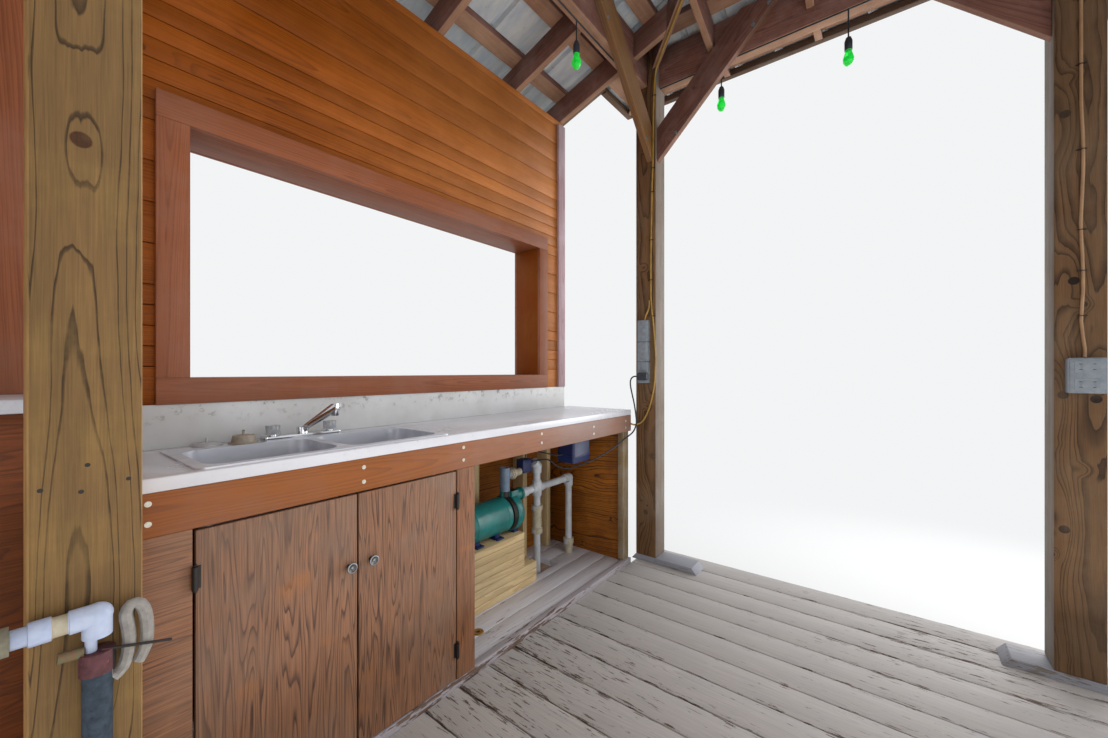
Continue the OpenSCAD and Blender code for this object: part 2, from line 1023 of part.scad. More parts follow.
module sink()
{
    drain_d = 90;
    from_left() color(steel)
        difference() {
            union() {
                translate([sink_x0, sink_y, counter_top])
                    linear_extrude(rim_t)
                        rounded(sink_l, sink_w, bowl_r / 2);
                each_bowl()
                    translate([-sink_t, -sink_t, counter_top - bowl_d - sink_t])
                        linear_extrude(bowl_d + sink_t + eps)
                            rounded(bowl_l + 2 * sink_t, bowl_w + 2 * sink_t, bowl_r + sink_t);
            }
            each_bowl() {
                translate([0, 0, counter_top - bowl_d])
                    linear_extrude(bowl_d + rim_t + eps)
                        rounded(bowl_l, bowl_w, bowl_r);
                translate([bowl_l / 2, bowl_w / 2, counter_top - bowl_d - sink_t - eps])
                    cylinder(d = drain_d, h = sink_t + 2 * eps);
            }
        }
}

faucet_l = 254;
faucet_w = 52;
faucet_h = 14;
spout_l = 150;
spout_up = 55;
spout_turn = -25;
knob_at = 95;

module faucet()
{
    z = counter_top + rim_t;
    from_left() color(steel)
        translate([sink_x, sink_y + sink_ledge / 2, z]) {
            translate([-faucet_l / 2, -faucet_w / 2, 0])
                linear_extrude(faucet_h)
                    rounded(faucet_l, faucet_w, 8);
            cylinder(d = 38, h = faucet_h + 22);
            for (x = [-knob_at, knob_at])
                translate([x, 0, 0]) {
                    cylinder(d = 24, h = faucet_h + 8);
                    translate([0, 0, faucet_h + 6])
                        cylinder(d = 44, h = 30);
                }
            rotate([0, 0, 90 + spout_turn])
                translate([0, 0, faucet_h + 12]) {
                    rotate([90, 0, 0])
                        linear_extrude(24, center = true)
                            polygon([[-12, 0], [12, 0], [spout_l, spout_up + 20],
                                [spout_l, spout_up + 40], [spout_l - 20, spout_up + 40]]);
                    translate([spout_l - 14, 0, spout_up - 2])
                        cylinder(d = 24, h = 36);
                }
        }
}

module apron()
{
    from_left() color(wood_red)
        bx(counter_x0, bar_face - apron_t, apron_low, bar_x - counter_x0, apron_t, apron_h);
}

half_gap = door_gap / 2;
left_axis = doors_x;
right_axis = doors_x + left_door_w + right_door_w;
axis_y = bar_face + hinge_r + 0.5;

module cabinet_stiles()
{
    from_left() color(wood_ply) {
        bx(counter_x0, bar_face - door_t, kick_z, left_axis - half_gap - counter_x0, door_t,
            apron_low - kick_z);
        bx(right_axis + half_gap, bar_face - door_t, kick_z, stile_w, door_t,
            apron_low - kick_z);
    }
}

hinge_z = [door_top - hinge_in, door_low + hinge_in];
knuckle_l = hinge_l / 2;
leaf_w = 28;
leaf_t = 1.5;
leaf_clear = 1;

// The half of a hinge on the stile, to the left of an axis at zero: pin, end knuckles, leaf
module pin_half()
{
    end_l = (hinge_l - knuckle_l) / 2 - leaf_clear;
    face = bar_face - axis_y;
    cylinder(r = pin_r, h = hinge_l, center = true);
    for (s = [-1, 1])
        translate([0, 0, s * (hinge_l - end_l) / 2]) {
            cylinder(r = hinge_r, h = end_l, center = true);
            translate([-leaf_w / 2, face + leaf_t / 2, 0])
                cube([leaf_w, leaf_t, end_l], center = true);
        }
    translate([-leaf_w / 2 - 4, face + leaf_t / 2, 0])
        cube([leaf_w - 8, leaf_t, hinge_l], center = true);
}

// The half on the door, to the right of the axis: a bored knuckle and its leaf
module barrel_half()
{
    face = bar_face - axis_y;
    difference() {
        union() {
            cylinder(r = hinge_r, h = knuckle_l, center = true);
            translate([leaf_w / 2, face + leaf_t / 2, 0])
                cube([leaf_w, leaf_t, knuckle_l], center = true);
            translate([leaf_w / 2 + 4, face + leaf_t / 2, 0])
                cube([leaf_w - 8, leaf_t, hinge_l], center = true);
        }
        cylinder(r = pin_r + pin_play, h = knuckle_l + 2 * eps, center = true);
    }
}

module hinge_pins()
{
    from_left() color(black_iron)
        for (z = hinge_z) {
            translate([left_axis, axis_y, z])
                pin_half();
            translate([right_axis, axis_y, z])
                mirror([1, 0, 0])
                    pin_half();
        }
}

module knob()
{
    rotate([-90, 0, 0]) {
        cylinder(d = knob_d / 2, h = 14);
        translate([0, 0, 12])
            cylinder(d = knob_d, h = 12);
    }
}

knob_z = deck_z + 605;
left_knob_in = 28;
right_knob_in = 42;

module left_door()
{
    from_left() color(wood_ply)
        bx(left_axis + half_gap, bar_face - door_t, door_low, left_door_w - door_gap, door_t,
            door_top - door_low);
}

module left_hardware()
{
    from_left() color(black_iron) {
        for (z = hinge_z)
            translate([left_axis, axis_y, z])
                barrel_half();
        translate([left_axis + left_door_w - left_knob_in, bar_face, knob_z])
            knob();
    }
}

module right_door()
{
    from_left() color(wood_ply)
        bx(left_axis + left_door_w + half_gap, bar_face - door_t, door_low,
            right_door_w - door_gap, door_t, door_top - door_low);
}

module right_hardware()
{
    from_left() color(black_iron) {
        for (z = hinge_z)
            translate([right_axis, axis_y, z])
                mirror([1, 0, 0])
                    barrel_half();
        translate([left_axis + left_door_w + right_knob_in, bar_face, knob_z])
            knob();
    }
}

stand_y = bar_row - 545;
stand_x = bar_x - stand_in;
stand_step_z = floor_z + stand_low_n * plank_t;
stand_top = stand_step_z + stand_up_n * plank_t;

module pump_stand()
{
    from_left() color(wood_yellow) {
        bx(stand_x, stand_y, floor_z, stand_l, stand_w, stand_low_n * plank_t);
        bx(stand_x, stand_y, stand_step_z, stand_up_l, stand_w, stand_up_n * plank_t);
    }
}

pump_y = stand_y + stand_w / 2;
foot_up = 10;
motor_z = stand_top + motor_d / 2 + foot_up;
motor_x = stand_x + 60;
motor_l = 290;
ring_l = 35;
head_l = 120;
head_d = motor_d + 18;
head_x = motor_x + motor_l + ring_l;
volute_l = 68;
port_d = 58;
port_z = motor_z + head_d / 2 + 20;
tee_x = head_x - 8;
line_z = motor_z + 80;

// Radius and place along the shaft: end bell, barrel, neck, ring and volute
function pump_profile(r, rh) = [[0, 0], [r - 16, 0], [r, 16], [r, 44], [r + 2, 46],
    [r + 2, 54], [r, 56], [r, motor_l - 30], [r + 2, motor_l - 28], [r + 2, motor_l],
    [r - 22, motor_l], [r - 22, motor_l + 8], [r + 5, motor_l + 8], [r + 5, motor_l + ring_l],
    [rh, motor_l + ring_l], [rh, motor_l + ring_l + 40], [rh - 6, motor_l + ring_l + 52],
    [rh - 30, motor_l + ring_l + volute_l], [0, motor_l + ring_l + volute_l]];

foot_w = 150;
foot_t = 8;
web_w = 100;
web_h = 42;
web_in = 6;

// A foot plate across the stand with a web up to the shell
module pump_foot(x, l)
{
    bx(x, pump_y - foot_w / 2, stand_top, l, foot_w, foot_t);
    bx(x + web_in, pump_y - web_w / 2, stand_top, l - 2 * web_in, web_w, web_h);
}

module pump()
{
    from_left() color(teal) {
        translate([motor_x, pump_y, motor_z])
            rotate([0, 90, 0])
                rotate_extrude()
                    polygon(pump_profile(motor_d / 2, head_d / 2));
        translate([tee_x, pump_y, motor_z])
            cylinder(d = port_d, h = port_z - motor_z);
        bx(head_x + 4, pump_y - 42, motor_z, volute_l - 14, 84, port_z - motor_z);
        translate([head_x + 20, pump_y, line_z])
            rotate([0, 90, 0]) {
                cylinder(d = 60, h = head_l - 20);
                translate([0, 0, head_l - 34])
                    cylinder(d = 72, h = 14);
            }
        for (x = [50, motor_l - 100])
            pump_foot(motor_x + x, 46);
        bx(head_x + 6, pump_y - 55, stand_top, 34, 110, 20);
    }
}

pipe_x = hole_x + 45;
drop_in = 141;
drop_x = bar_x - drop_in;
pipe_top = line_z + 130;
fitting_d = pipe_d + 14;
tee_h = 127;
branch_z = port_z + 85;
switch_l = 74;
switch_w = 60;
switch_x = tee_x + 121;
switch_z = branch_z - 9;
foot_collar_z = 30;
foot_nut_z = 75;
valve_z = 300;
valve_nut = 68;

module pipe(l)
{
    cylinder(d = pipe_d, h = l);
}

module fitting(l)
{
    cylinder(d = fitting_d, h = l, center = true);
}

// The open tee on the pump's top port, with a ribbed union toward the switch
module tee()
{
    union_x = 42;
    difference() {
        cylinder(d = fitting_d, h = tee_h);
        translate([0, 0, tee_h - 40])
            cylinder(d = pipe_d, h = 40 + eps);
    }
    translate([fitting_d / 4, 0, branch_z - port_z])
        rotate([0, 90, 0]) {
            cylinder(d = pipe_d, h = switch_x - tee_x - fitting_d / 4);
            translate([0, 0, union_x - fitting_d / 4])
                cylinder(d = fitting_d, h = 34);
            translate([0, 0, union_x - fitting_d / 4 + 10])
                cylinder(d = fitting_d + 10, h = 12);
        }
}

module pump_pipes()
{
    start = head_x + head_l;
    reducer_l = 50;
    elbow_ball = fitting_d + 3;
    from_left() color(pipe_white)
        translate([0, pump_y, 0]) {
            translate([start, 0, line_z])
                rotate([0, 90, 0]) {
                    cylinder(d1 = 60, d2 = fitting_d, h = reducer_l);
                    pipe(drop_x - start);
                }
            translate([drop_x, 0, floor_z])
                pipe(line_z - floor_z);
            translate([drop_x, 0, line_z])
                sphere(d = elbow_ball);
            translate([drop_x, 0, line_z - 30])
                fitting(40);
            translate([drop_x - 30, 0, line_z])
                rotate([0, 90, 0])
                    fitting(40);
            translate([drop_x, 0, floor_z + foot_collar_z])
                fitting(2 * foot_collar_z);
            translate([drop_x, 0, floor_z + foot_nut_z])
                cylinder(d = fitting_d + 12, h = 34, center = true);
            translate([pipe_x, 0, joist_low])
                pipe(pipe_top - joist_low);
            translate([pipe_x, 0, line_z]) {
                fitting(90);
                rotate([0, 90, 0])
                    cylinder(d = fitting_d - 4, h = 90, center = true);
            }
            translate([pipe_x, 0, floor_z + valve_z])
                fitting(120);
            for (z = [valve_z - valve_nut, valve_z + valve_nut])
                translate([pipe_x, 0, floor_z + z])
                    cylinder(d = fitting_d + 12, h = 28, center = true);
            translate([pipe_x, 0, pipe_top - 40])
                cylinder(d = fitting_d, h = 40);
            translate([pipe_x, 0, pipe_top])
                sphere(d = elbow_ball);
            translate([pipe_x, 0, pipe_top])
                rotate([0, -45, 0])
                    cylinder(d = fitting_d, h = 42);
            translate([tee_x, 0, port_z])
                tee();
        }
}

module bar_ledge()
{
    from_left() color(paint_white)
        bx(-bar_x, wall_face, ledge_low, bar_x + counter_x0, ledge_w, ledge_t);
}

module ledge_panel()
{
    from_left() color(wood_ply)
        bx(-bar_x, panel_y, floor_z, bar_x + counter_x0, panel_t, ledge_low - floor_z);
}

// A smooth curve through a list of points, with n steps between each two
function between(a, b, c, d, k) = 0.5 * (2 * b + (c - a) * k
    + (2 * a - 5 * b + 4 * c - d) * k * k + (3 * b - 3 * c + d - a) * k * k * k);
function smooth(p, n) = let (last = len(p) - 1)
    concat([for (i = [0 : last - 1], j = [0 : n - 1])
        between(p[max(i - 1, 0)], p[i], p[i + 1], p[min(i + 2, last)], j / n)], [p[last]]);
function unit(v) = v / norm(v);
function heading(p, i) = unit(p[min(i + 1, len(p) - 1)] - p[max(i - 1, 0)]);
function corner(p, h, side, r, turn) = let (u = unit(cross(h, side)))
    p + r * (cos(turn) * u + sin(turn) * cross(h, u));

// A round tube along a list of points. Side is a direction that the tube never takes.
module tube(p, d, side, sides = 8)
{
    n = len(p);
    points = [for (i = [0 : n - 1], k = [0 : sides - 1])
        corner(p[i], heading(p, i), side, d / 2, k * 360 / sides)];
    skin = [for (i = [0 : n - 2], k = [0 : sides - 1])
        [i * sides + k, (i + 1) * sides + k, (i + 1) * sides + (k + 1) % sides,
            i * sides + (k + 1) % sides]];
    ends = [[for (k = [0 : sides - 1]) k],
        [for (k = [sides - 1 : -1 : 0]) (n - 1) * sides + k]];
    polyhedron(points, concat(skin, ends), convexity = 6);
}

along_x = [1, 0, 0];
along_y = [0, 1, 0];
post_face = bay_x - post_w / 2;
cover_t = 3;
lid_t = 2;
socket_d = 33;
outlet_w = 67;
outlet_h = [134, 123, 135];
outlet_y = bar_row - 2.5;
outlet_z = deck_z + 1123;
outlet_r = 6;
lone_w = 94;
lone_h = 132;
lone_y = mid_row + 8;
lone_z = deck_z + 1114;

// A surface box on a post's inner face: its middle, its low edge, its width and height
module outlet_box(y, z, w, h)
{
    margin = 4;
    translate([post_face, y - w / 2, z])
        mirror([1, 0, 0])
            rotate([90, 0, 90]) {
                linear_extrude(outlet_d - cover_t)
                    rounded(w, h, outlet_r);
                translate([margin, margin, 0])
                    linear_extrude(outlet_d)
                        rounded(w - 2 * margin, h - 2 * margin, outlet_r - 2);
                for (s = [-1, 1])
                    translate([w / 2, h / 2 + s * h / 4, 0])
                        cylinder(d = socket_d, h = outlet_d + lid_t);
            }
}

function stacked(i) = i == 0 ? 0 : outlet_h[i - 1] + stacked(i - 1);
outlet_top = outlet_z + stacked(len(outlet_h));

module outlet_boxes()
{
    from_left() color(box_grey) {
        for (i = [0 : len(outlet_h) - 1])
            outlet_box(outlet_y, outlet_z + stacked(i), outlet_w, outlet_h[i] - 1);
        outlet_box(lone_y, lone_z, lone_w, lone_h);
    }
}

tank_x = bar_x - 452;
tank_l = 172;
tank_y = bar_row - 308;
tank_w = 120;
tank_z = counter_low - 249;

cable_d = 10.4;
cable_x = post_face - cable_d / 2 - fit - 0.1;
cable_clear = 2;

// Height of a cable's middle under a rafter whose foot hangs by a drop
function cable_z(x, drop) = ridge_z - (x - ridge_half) * pitch - batten_v - rafter_v - drop
    - cable_d / 2 - cable_clear;
function moved(list, at) = [for (p = list) p + at];

// The yellow cable: along a hip rafter, down the corner post and under the counter's end
post_cable = concat(
    [for (x = [1700 : 200 : 2300]) [x, ridge_y + ridge_half - x, cable_z(x, hip_drop)]],
    [[cable_x - 37, ridge_y + ridge_half - cable_x + 37, cable_z(cable_x - 37, hip_drop)]],
    moved([[-6, 79, 3064], [0, 67, 3030], [0, 60, 2940], [0, 55, 2800], [0, 54, 2647],
        [0, 52, 2490], [0, 47, 2360], [0, 40, 2000], [0, 39, 1651], [0, 52, 1527], [0, 63, 1404],
        [0, 70, 1285], [0, 66, 1161], [0, 57, 1080]], [cable_x, bar_row, deck_z]),
    moved([[0, 30, 48], [-1, -10, -34], [-12, -38, -59], [-32, -56, -65], [-54, -62, -60],
        [-76, -62, -54]], [cable_x, bar_row, counter_low]));
// The tan cable: along an end rafter and down the middle post to its box
lone_cable = concat(
    [for (x = [1700 : 300 : 2300]) [x, ridge_y, cable_z(x, fit)]],
    [[cable_x - 37, ridge_y, cable_z(cable_x - 37, fit)]],
    moved([[-6, 0, 3068], [0, 0, 3030], [0, 0, 2597], [0, 1, 2475], [0, 1, 2212], [0, 5, 2090],
        [0, 6, 1948], [0, 0, 1758], [0, 4, 1636], [0, 6, 1504], [0, 1, 1384], [0, 10, 1282]],
        [cable_x, mid_row, deck_z]),
    [[cable_x - 6, lone_y, lone_z + lone_h + 2]]);
// The short cable from the stacked outlets up to the yellow one
branch_cable = moved([[-16, 6, 1], [-14, 10, 25], [-8, 20, 53], [-1, 28, 85], [0, 28, 125]],
    [cable_x, bar_row, outlet_top]);
// The grey cable between the small switch and the tank's box
switch_cable = concat(
    moved([[37, 7, 0], [38, 18, 33], [58, 56, 49]], [switch_x, pump_y, switch_z + switch_l]),
    moved([[-64, -28, 53], [-30, 20, 41], [-1, 48, 45]], [tank_x, tank_y, tank_z]));

module outlet_cables()
{
    from_left() color(cable_tan) {
        tube(smooth(post_cable, 2), cable_d, along_y);
        tube(smooth(lone_cable, 2), cable_d, along_y);
        tube(smooth(branch_cable, 2), cable_d, along_y);
        tube(smooth(switch_cable, 3), 7, along_x);
    }
}

// The pump's cord, from the plug down past the counter's end and back to the small switch
cord_route = [[2356, -1484, 1865], [2356, -1500, 1864], [2358, -1515, 1857],
    [2362, -1527, 1843], [2368, -1533, 1820], [2375, -1533, 1790], [2380, -1525, 1745],
    [2382, -1513, 1690], [2382, -1503, 1630], [2380, -1497, 1575], [2371, -1503, 1536],
    [2350, -1511, 1511], [2314, -1519, 1494], [2268, -1526, 1477], [2200, -1536, 1449],
    [2126, -1570, 1410], [2054, -1650, 1357], [1984, -1742, 1322], [1945, -1791, 1336],
    [1916, -1809, 1363], [1898, -1833, 1377], [1865, -1871, 1373], [1843, -1882, 1371],
    [1826, -1884, 1371]];
cord_d = 9;

module pump_cord()
{
    from_left() color(switch_blue)
        tube(smooth(cord_route, 3), cord_d, along_x);
}

module cord_plug()
{
    l = 30;
    w = 62;
    h = 48;
    end = cord_route[0];
    from_left() color(switch_blue) {
        translate([post_face - outlet_d - lid_t - fit, end[1] + 12, end[2] - h / 2])
            mirror([1, 0, 0])
                rotate([90, 0, 90])
                    linear_extrude(l)
                        rounded(w, h, 12);
        translate(end)
            rotate([-90, 0, 0])
                cylinder(d1 = cord_d + 3, d2 = cord_d + 9, h = 14);
    }
}

module switch_boxes()
{
    rim = 4;
    gland = cord_route[len(cord_route) - 1];
    from_left() color(switch_blue) {
        translate([switch_x, pump_y - switch_w / 2, switch_z])
            linear_extrude(switch_l)
                rounded(switch_l, switch_w, 10);
        translate([switch_x + switch_l - eps, gland[1], gland[2]])
            rotate([0, 90, 0])
                cylinder(d = 18, h = gland[0] - 2 * fit - switch_x - switch_l + eps);
        translate([tank_x, tank_y, tank_z])
            linear_extrude(counter_low - fit - tank_z)
                rounded(tank_l, tank_w, 16);
        translate([tank_x - rim, tank_y - rim, tank_z + 26])
            linear_extrude(12)
                rounded(tank_l + 2 * rim, tank_w + 2 * rim, 18);
    }
}

riser_x = 8;
riser_y = bar_face + new_post_w + fit + valve_d / 2;
foam_top = deck_z + 656;
valve_h = 38;
branch_pipe_z = foam_top + 101;
sleeve_x = -92;
sleeve_turn = -230;
sleeve_d = 46;
elbow_d = 40;

// A cylinder toward -X from a place on the riser's branch pipe
module branch_part(x, d, l)
{
    translate([x, riser_y, branch_pipe_z])
        rotate([0, -90, 0])
            cylinder(d = d, h = l);
}

module riser_pipe()
{
    from_left() color(pipe_white) {
        branch_part(riser_x, elbow_d, riser_x + 27);
        branch_part(-27, 34, 19);
        branch_part(-46, elbow_d, 27);
        branch_part(-73, 32, -73 - sleeve_x);
        translate([riser_x, riser_y, branch_pipe_z])
            sphere(d = elbow_d + 2);
        translate([riser_x, riser_y, branch_pipe_z - 38])
            cylinder(d = elbow_d, h = 38);
        translate([riser_x - 8, riser_y, foam_top + valve_h])
            cylinder(d = 16, h = 30);
    }
}

// A loose end of foam, doubled back on itself beside the valve
foam_loop = [[29, -1350, 1334], [41, -1350, 1345], [47, -1350, 1366], [50, -1350, 1396],
    [47, -1350, 1424], [45, -1350, 1444], [52, -1350, 1458], [64, -1350, 1454],
    [72, -1350, 1434], [75, -1350, 1398], [72, -1350, 1368], [62, -1350, 1346]];
foam_loop_d = 20;

module riser_foam()
{
    from_left() color(foam_grey) {
        translate([riser_x, riser_y, deck_z])
            cylinder(d = foam_d, h = foam_top - deck_z);
        branch_part(sleeve_x, sleeve_d, sleeve_x - sleeve_turn);
        translate([sleeve_turn, riser_y, branch_pipe_z]) {
            sphere(d = sleeve_d + 2);
            rotate([90, 0, 0])
                cylinder(d = sleeve_d, h = riser_y - panel_y - panel_t - fit);
        }
        tube(smooth(foam_loop, 2), foam_loop_d, along_y);
    }
}

module riser_valve()
{
    rod_at = [12, riser_y + 13, foam_top + valve_h + 3];
    from_left() color(valve_red) {
        translate([riser_x, riser_y, foam_top])
            cylinder(d = valve_d, h = valve_h);
        translate([riser_x - 17, riser_y, foam_top + valve_h + 4])
            rotate([0, -84, 0])
                cylinder(d = 18, h = 31);
        translate(rod_at)
            rotate([0, 106, 0])
                cylinder(d = 5, h = 100);
    }
}

bulb_step = 612;
bulb_x = [for (i = [0, 1, 2]) 491 + i * bulb_step];
bulb_y = concat([bar_row + 445], [for (i = [-733, 491, 491 + bulb_step]) mid_row + i]);
wire_d = 7;
side_drop = 110;
end_drop = 140;
light_r = 17;
light_h = 50;

// A hanging bulb in one turned form, from its wire down: cord, socket, glass
module bulb(drop)
{
    r = bulb_d / 2;
    low = -drop - light_h - 18;
    translate([0, 0, beam_z - fit])
        rotate_extrude()
            polygon([[0, 0], [wire_d / 2, 0], [wire_d / 2, -drop], [light_r - 6, -drop - 4],
                [light_r, -drop - 22], [light_r, low], [light_r - 3, low - 4],
                [r - 4, low - r], [r, low - 5 / 3 * r], [r - 2, low - 7 / 3 * r],
                [r - 10, low - 23 / 8 * r], [0, low - 25 / 8 * r]]);
}

module string_lights()
{
    wire_y = bar_face + 28;
    wire_z = beam_z - wire_d / 2 - fit;
    post_at = [bar_row, mid_row, front_row];
    from_left() color(bulb_green) {
        for (x = bulb_x)
            translate([x, wire_y, 0])
                bulb(side_drop);
        for (y = bulb_y)
            translate([bay_x, y, 0])
                bulb(end_drop);
        translate([new_post_w / 2 + fit, wire_y, wire_z])
            rotate([0, 90, 0])
                cylinder(d = wire_d, h = post_face - new_post_w / 2 - 2 * fit);
        for (i = [0, 1])
            translate([bay_x, post_at[i] + post_w / 2 + fit, wire_z])
                rotate([-90, 0, 0])
                    cylinder(d = wire_d, h = bay_y - post_w - 2 * fit);
    }
}

strainer_at = [[sink_x - faucet_l / 2 - 138, sink_y - 8.5],
    [sink_x - faucet_l / 2 - 51, sink_y + 32.5]];
strainer_h = [8, 26];

// A strainer basket that stands upside down, with its post
module strainer(h)
{
    r = strainer_d / 2;
    rotate_extrude()
        polygon([[0, 0], [r, 0], [r, 3], [r - 8, 5], [r - 12, h], [4, h + 2], [4, h + 16],
            [0, h + 17]]);
}

module sink_strainers()
{
    from_left() color(steel)
        for (i = [0, 1])
            translate([strainer_at[i][0], strainer_at[i][1], counter_top + rim_t])
                strainer(strainer_h[i]);
}

piles();
cap_beams();
floor_joists();
rim_boards();
deck_boards();
bar_floor();
kick_board();
posts();
new_post();
post_shoes();
end_beams();
side_beams();
knee_braces();
long_rafters();
end_rafters();
hip_rafters();
ridge_board();
bar_rafters();
battens();
eave_boards();
bar_roof();
front_roof();
end_roofs();
roof_caps();
wall_over_window();
wall_beside_window();
wall_under_window();
left_wall();
lower_back_wall();
bar_studs();
bar_end_walls();
window_lining();
window_casing();
wall_trims();
backsplash();
counter();
sink();
faucet();
apron();
cabinet_stiles();
hinge_pins();
left_door();
left_hardware();
right_door();
right_hardware();
pump_stand();
pump();
pump_pipes();
bar_ledge();
ledge_panel();
outlet_boxes();
outlet_cables();
pump_cord();
cord_plug();
switch_boxes();
riser_pipe();
riser_foam();
riser_valve();
string_lights();
sink_strainers();
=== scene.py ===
"""Looks of a covered boathouse deck with a bar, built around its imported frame.

Lengths are written in millimetres, as on the real building, and turned to metres by MM.
Places along the bar are counted from its middle post to the right, seen from the deck.
"""

from __future__ import annotations

import logging
import math
import random
from collections.abc import Callable
from dataclasses import dataclass, field, replace
from enum import Enum

import bmesh
import bpy
from mathutils import Matrix, Vector

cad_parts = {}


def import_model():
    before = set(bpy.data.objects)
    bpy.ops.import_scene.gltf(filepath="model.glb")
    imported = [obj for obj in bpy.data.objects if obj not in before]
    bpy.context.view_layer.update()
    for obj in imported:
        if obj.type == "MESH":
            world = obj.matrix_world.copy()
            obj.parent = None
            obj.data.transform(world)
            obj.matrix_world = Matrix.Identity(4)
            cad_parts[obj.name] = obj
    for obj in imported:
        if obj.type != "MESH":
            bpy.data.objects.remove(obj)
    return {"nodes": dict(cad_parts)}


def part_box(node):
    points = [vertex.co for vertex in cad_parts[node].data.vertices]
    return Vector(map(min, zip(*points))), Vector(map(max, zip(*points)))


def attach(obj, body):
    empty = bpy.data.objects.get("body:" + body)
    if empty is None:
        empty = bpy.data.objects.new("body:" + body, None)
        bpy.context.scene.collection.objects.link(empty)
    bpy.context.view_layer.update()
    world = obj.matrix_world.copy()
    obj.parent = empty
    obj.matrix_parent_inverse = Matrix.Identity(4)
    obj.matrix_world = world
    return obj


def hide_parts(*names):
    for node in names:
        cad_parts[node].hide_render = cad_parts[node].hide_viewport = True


logging.basicConfig(level=logging.INFO, format="%(message)s")
LOG = logging.getLogger("boathouse")
MM = 0.001
# Corners that are nearer to each other than this are one corner
MERGE = 0.02 * MM
# Edges that turn by more than the first are eased, and by more than the second look sharp
EASED, SHARP = math.radians(30), math.radians(32)
SMOOTH = {"interpolation_type": "SMOOTHSTEP"}
Triple = tuple[float, float, float]
Profile = list[tuple[float, float]]
Test = Callable[[Vector], bool]
Tree = bpy.types.NodeTree
Form = bmesh.types.BMesh
Corners = list[bmesh.types.BMVert]
Object = bpy.types.Object
Material = bpy.types.Material
Source = bpy.types.Node | bpy.types.NodeSocket
MATERIALS: dict[str, Material] = {}
NODES: dict[str, Object] = {}


def linear(code: str) -> tuple[float, float, float, float]:
    """Turns an sRGB hex colour to linear.

    Args:
        code: Six hex digits after a hash.

    Returns:
        Linear red, green, blue and an alpha of 1.
    """
    parts = [int(code[i : i + 2], 16) / 255 for i in (1, 3, 5)]
    return (*(c / 12.92 if c <= 0.04045 else ((c + 0.055) / 1.055) ** 2.4 for c in parts), 1.0)


def add(tree: Tree, kind: str, inputs: tuple | dict = (), stops: tuple[tuple[float, str], ...] = (),
        **settings: object) -> bpy.types.Node:
    """Adds a node with its settings and links.

    Args:
        tree: The tree that gets the node.
        kind: The node's type name, which for a shader's node leaves out its first two words.
        inputs: Values, nodes or sockets, in the order of the inputs in use or by their names.
        stops: Places and hex colours of a colour ramp.
        settings: Attributes of the node.

    Returns:
        The new node.
    """
    whole = kind.startswith(("Geometry", "Function", "NodeGroup"))
    node = tree.nodes.new(kind if whole else "ShaderNode" + kind)
    for name, value in settings.items():
        setattr(node, name, value)
    while stops and len(node.color_ramp.elements) < len(stops):
        node.color_ramp.elements.new(1.0)
    for i, (place, code) in enumerate(stops):
        node.color_ramp.elements[i].position = place
        node.color_ramp.elements[i].color = linear(code)
    used = [s for s in node.inputs if s.enabled]
    named = isinstance(inputs, dict)
    for socket, value in ((node.inputs[k], v) for k, v in inputs.items()) if named else zip(used, inputs):
        if isinstance(value, bpy.types.Node):
            value = next(s for s in value.outputs if s.enabled)
        if isinstance(value, bpy.types.NodeSocket):
            tree.links.new(value, socket)
        elif value is not None:
            socket.default_value = value
    return node


def material(name: str) -> tuple[Material, Tree]:
    """Makes an empty node material.

    Args:
        name: The finish's name.

    Returns:
        The material and its tree.
    """
    made = bpy.data.materials.new(name)
    made.use_nodes = True
    made.node_tree.nodes.clear()
    return made, made.node_tree


def surface(tree: Tree, height: Source, relief: float, depth: float, look: dict, dents: bool = False) -> None:
    """Ends a material's tree with its fine relief and its shader.

    Args:
        tree: The material's tree.
        height: The pattern that the relief follows.
        relief: How strong the relief is.
        depth: How deep it is, in millimetres.
        look: The shader's other inputs.
        dents: Whether high values lie low.
    """
    bump = add(tree, "Bump", {"Height": height, "Strength": relief, "Distance": depth * MM}, invert=dents)
    shader = add(tree, "BsdfPrincipled", {**look, "Normal": bump})
    add(tree, "OutputMaterial", {"Surface": shader})


def along(x: float, y: float, z: float) -> Vector:
    """A place by its distance along the bar to the right, its depth and its height, in mm."""
    return Vector((-x, y, z)) * MM


def bar_place(at: Vector) -> Vector:
    """A place in the frame as its distance along the bar, depth and height, in mm."""
    return Vector((-at.x, at.y, at.z)) / MM


class Across(Enum):
    """The direction that a board's grain runs in."""

    BAR = (1.0, 0.0, 0.0)
    DEPTH = (0.0, 1.0, 0.0)
    UP = (0.0, 0.0, 1.0)


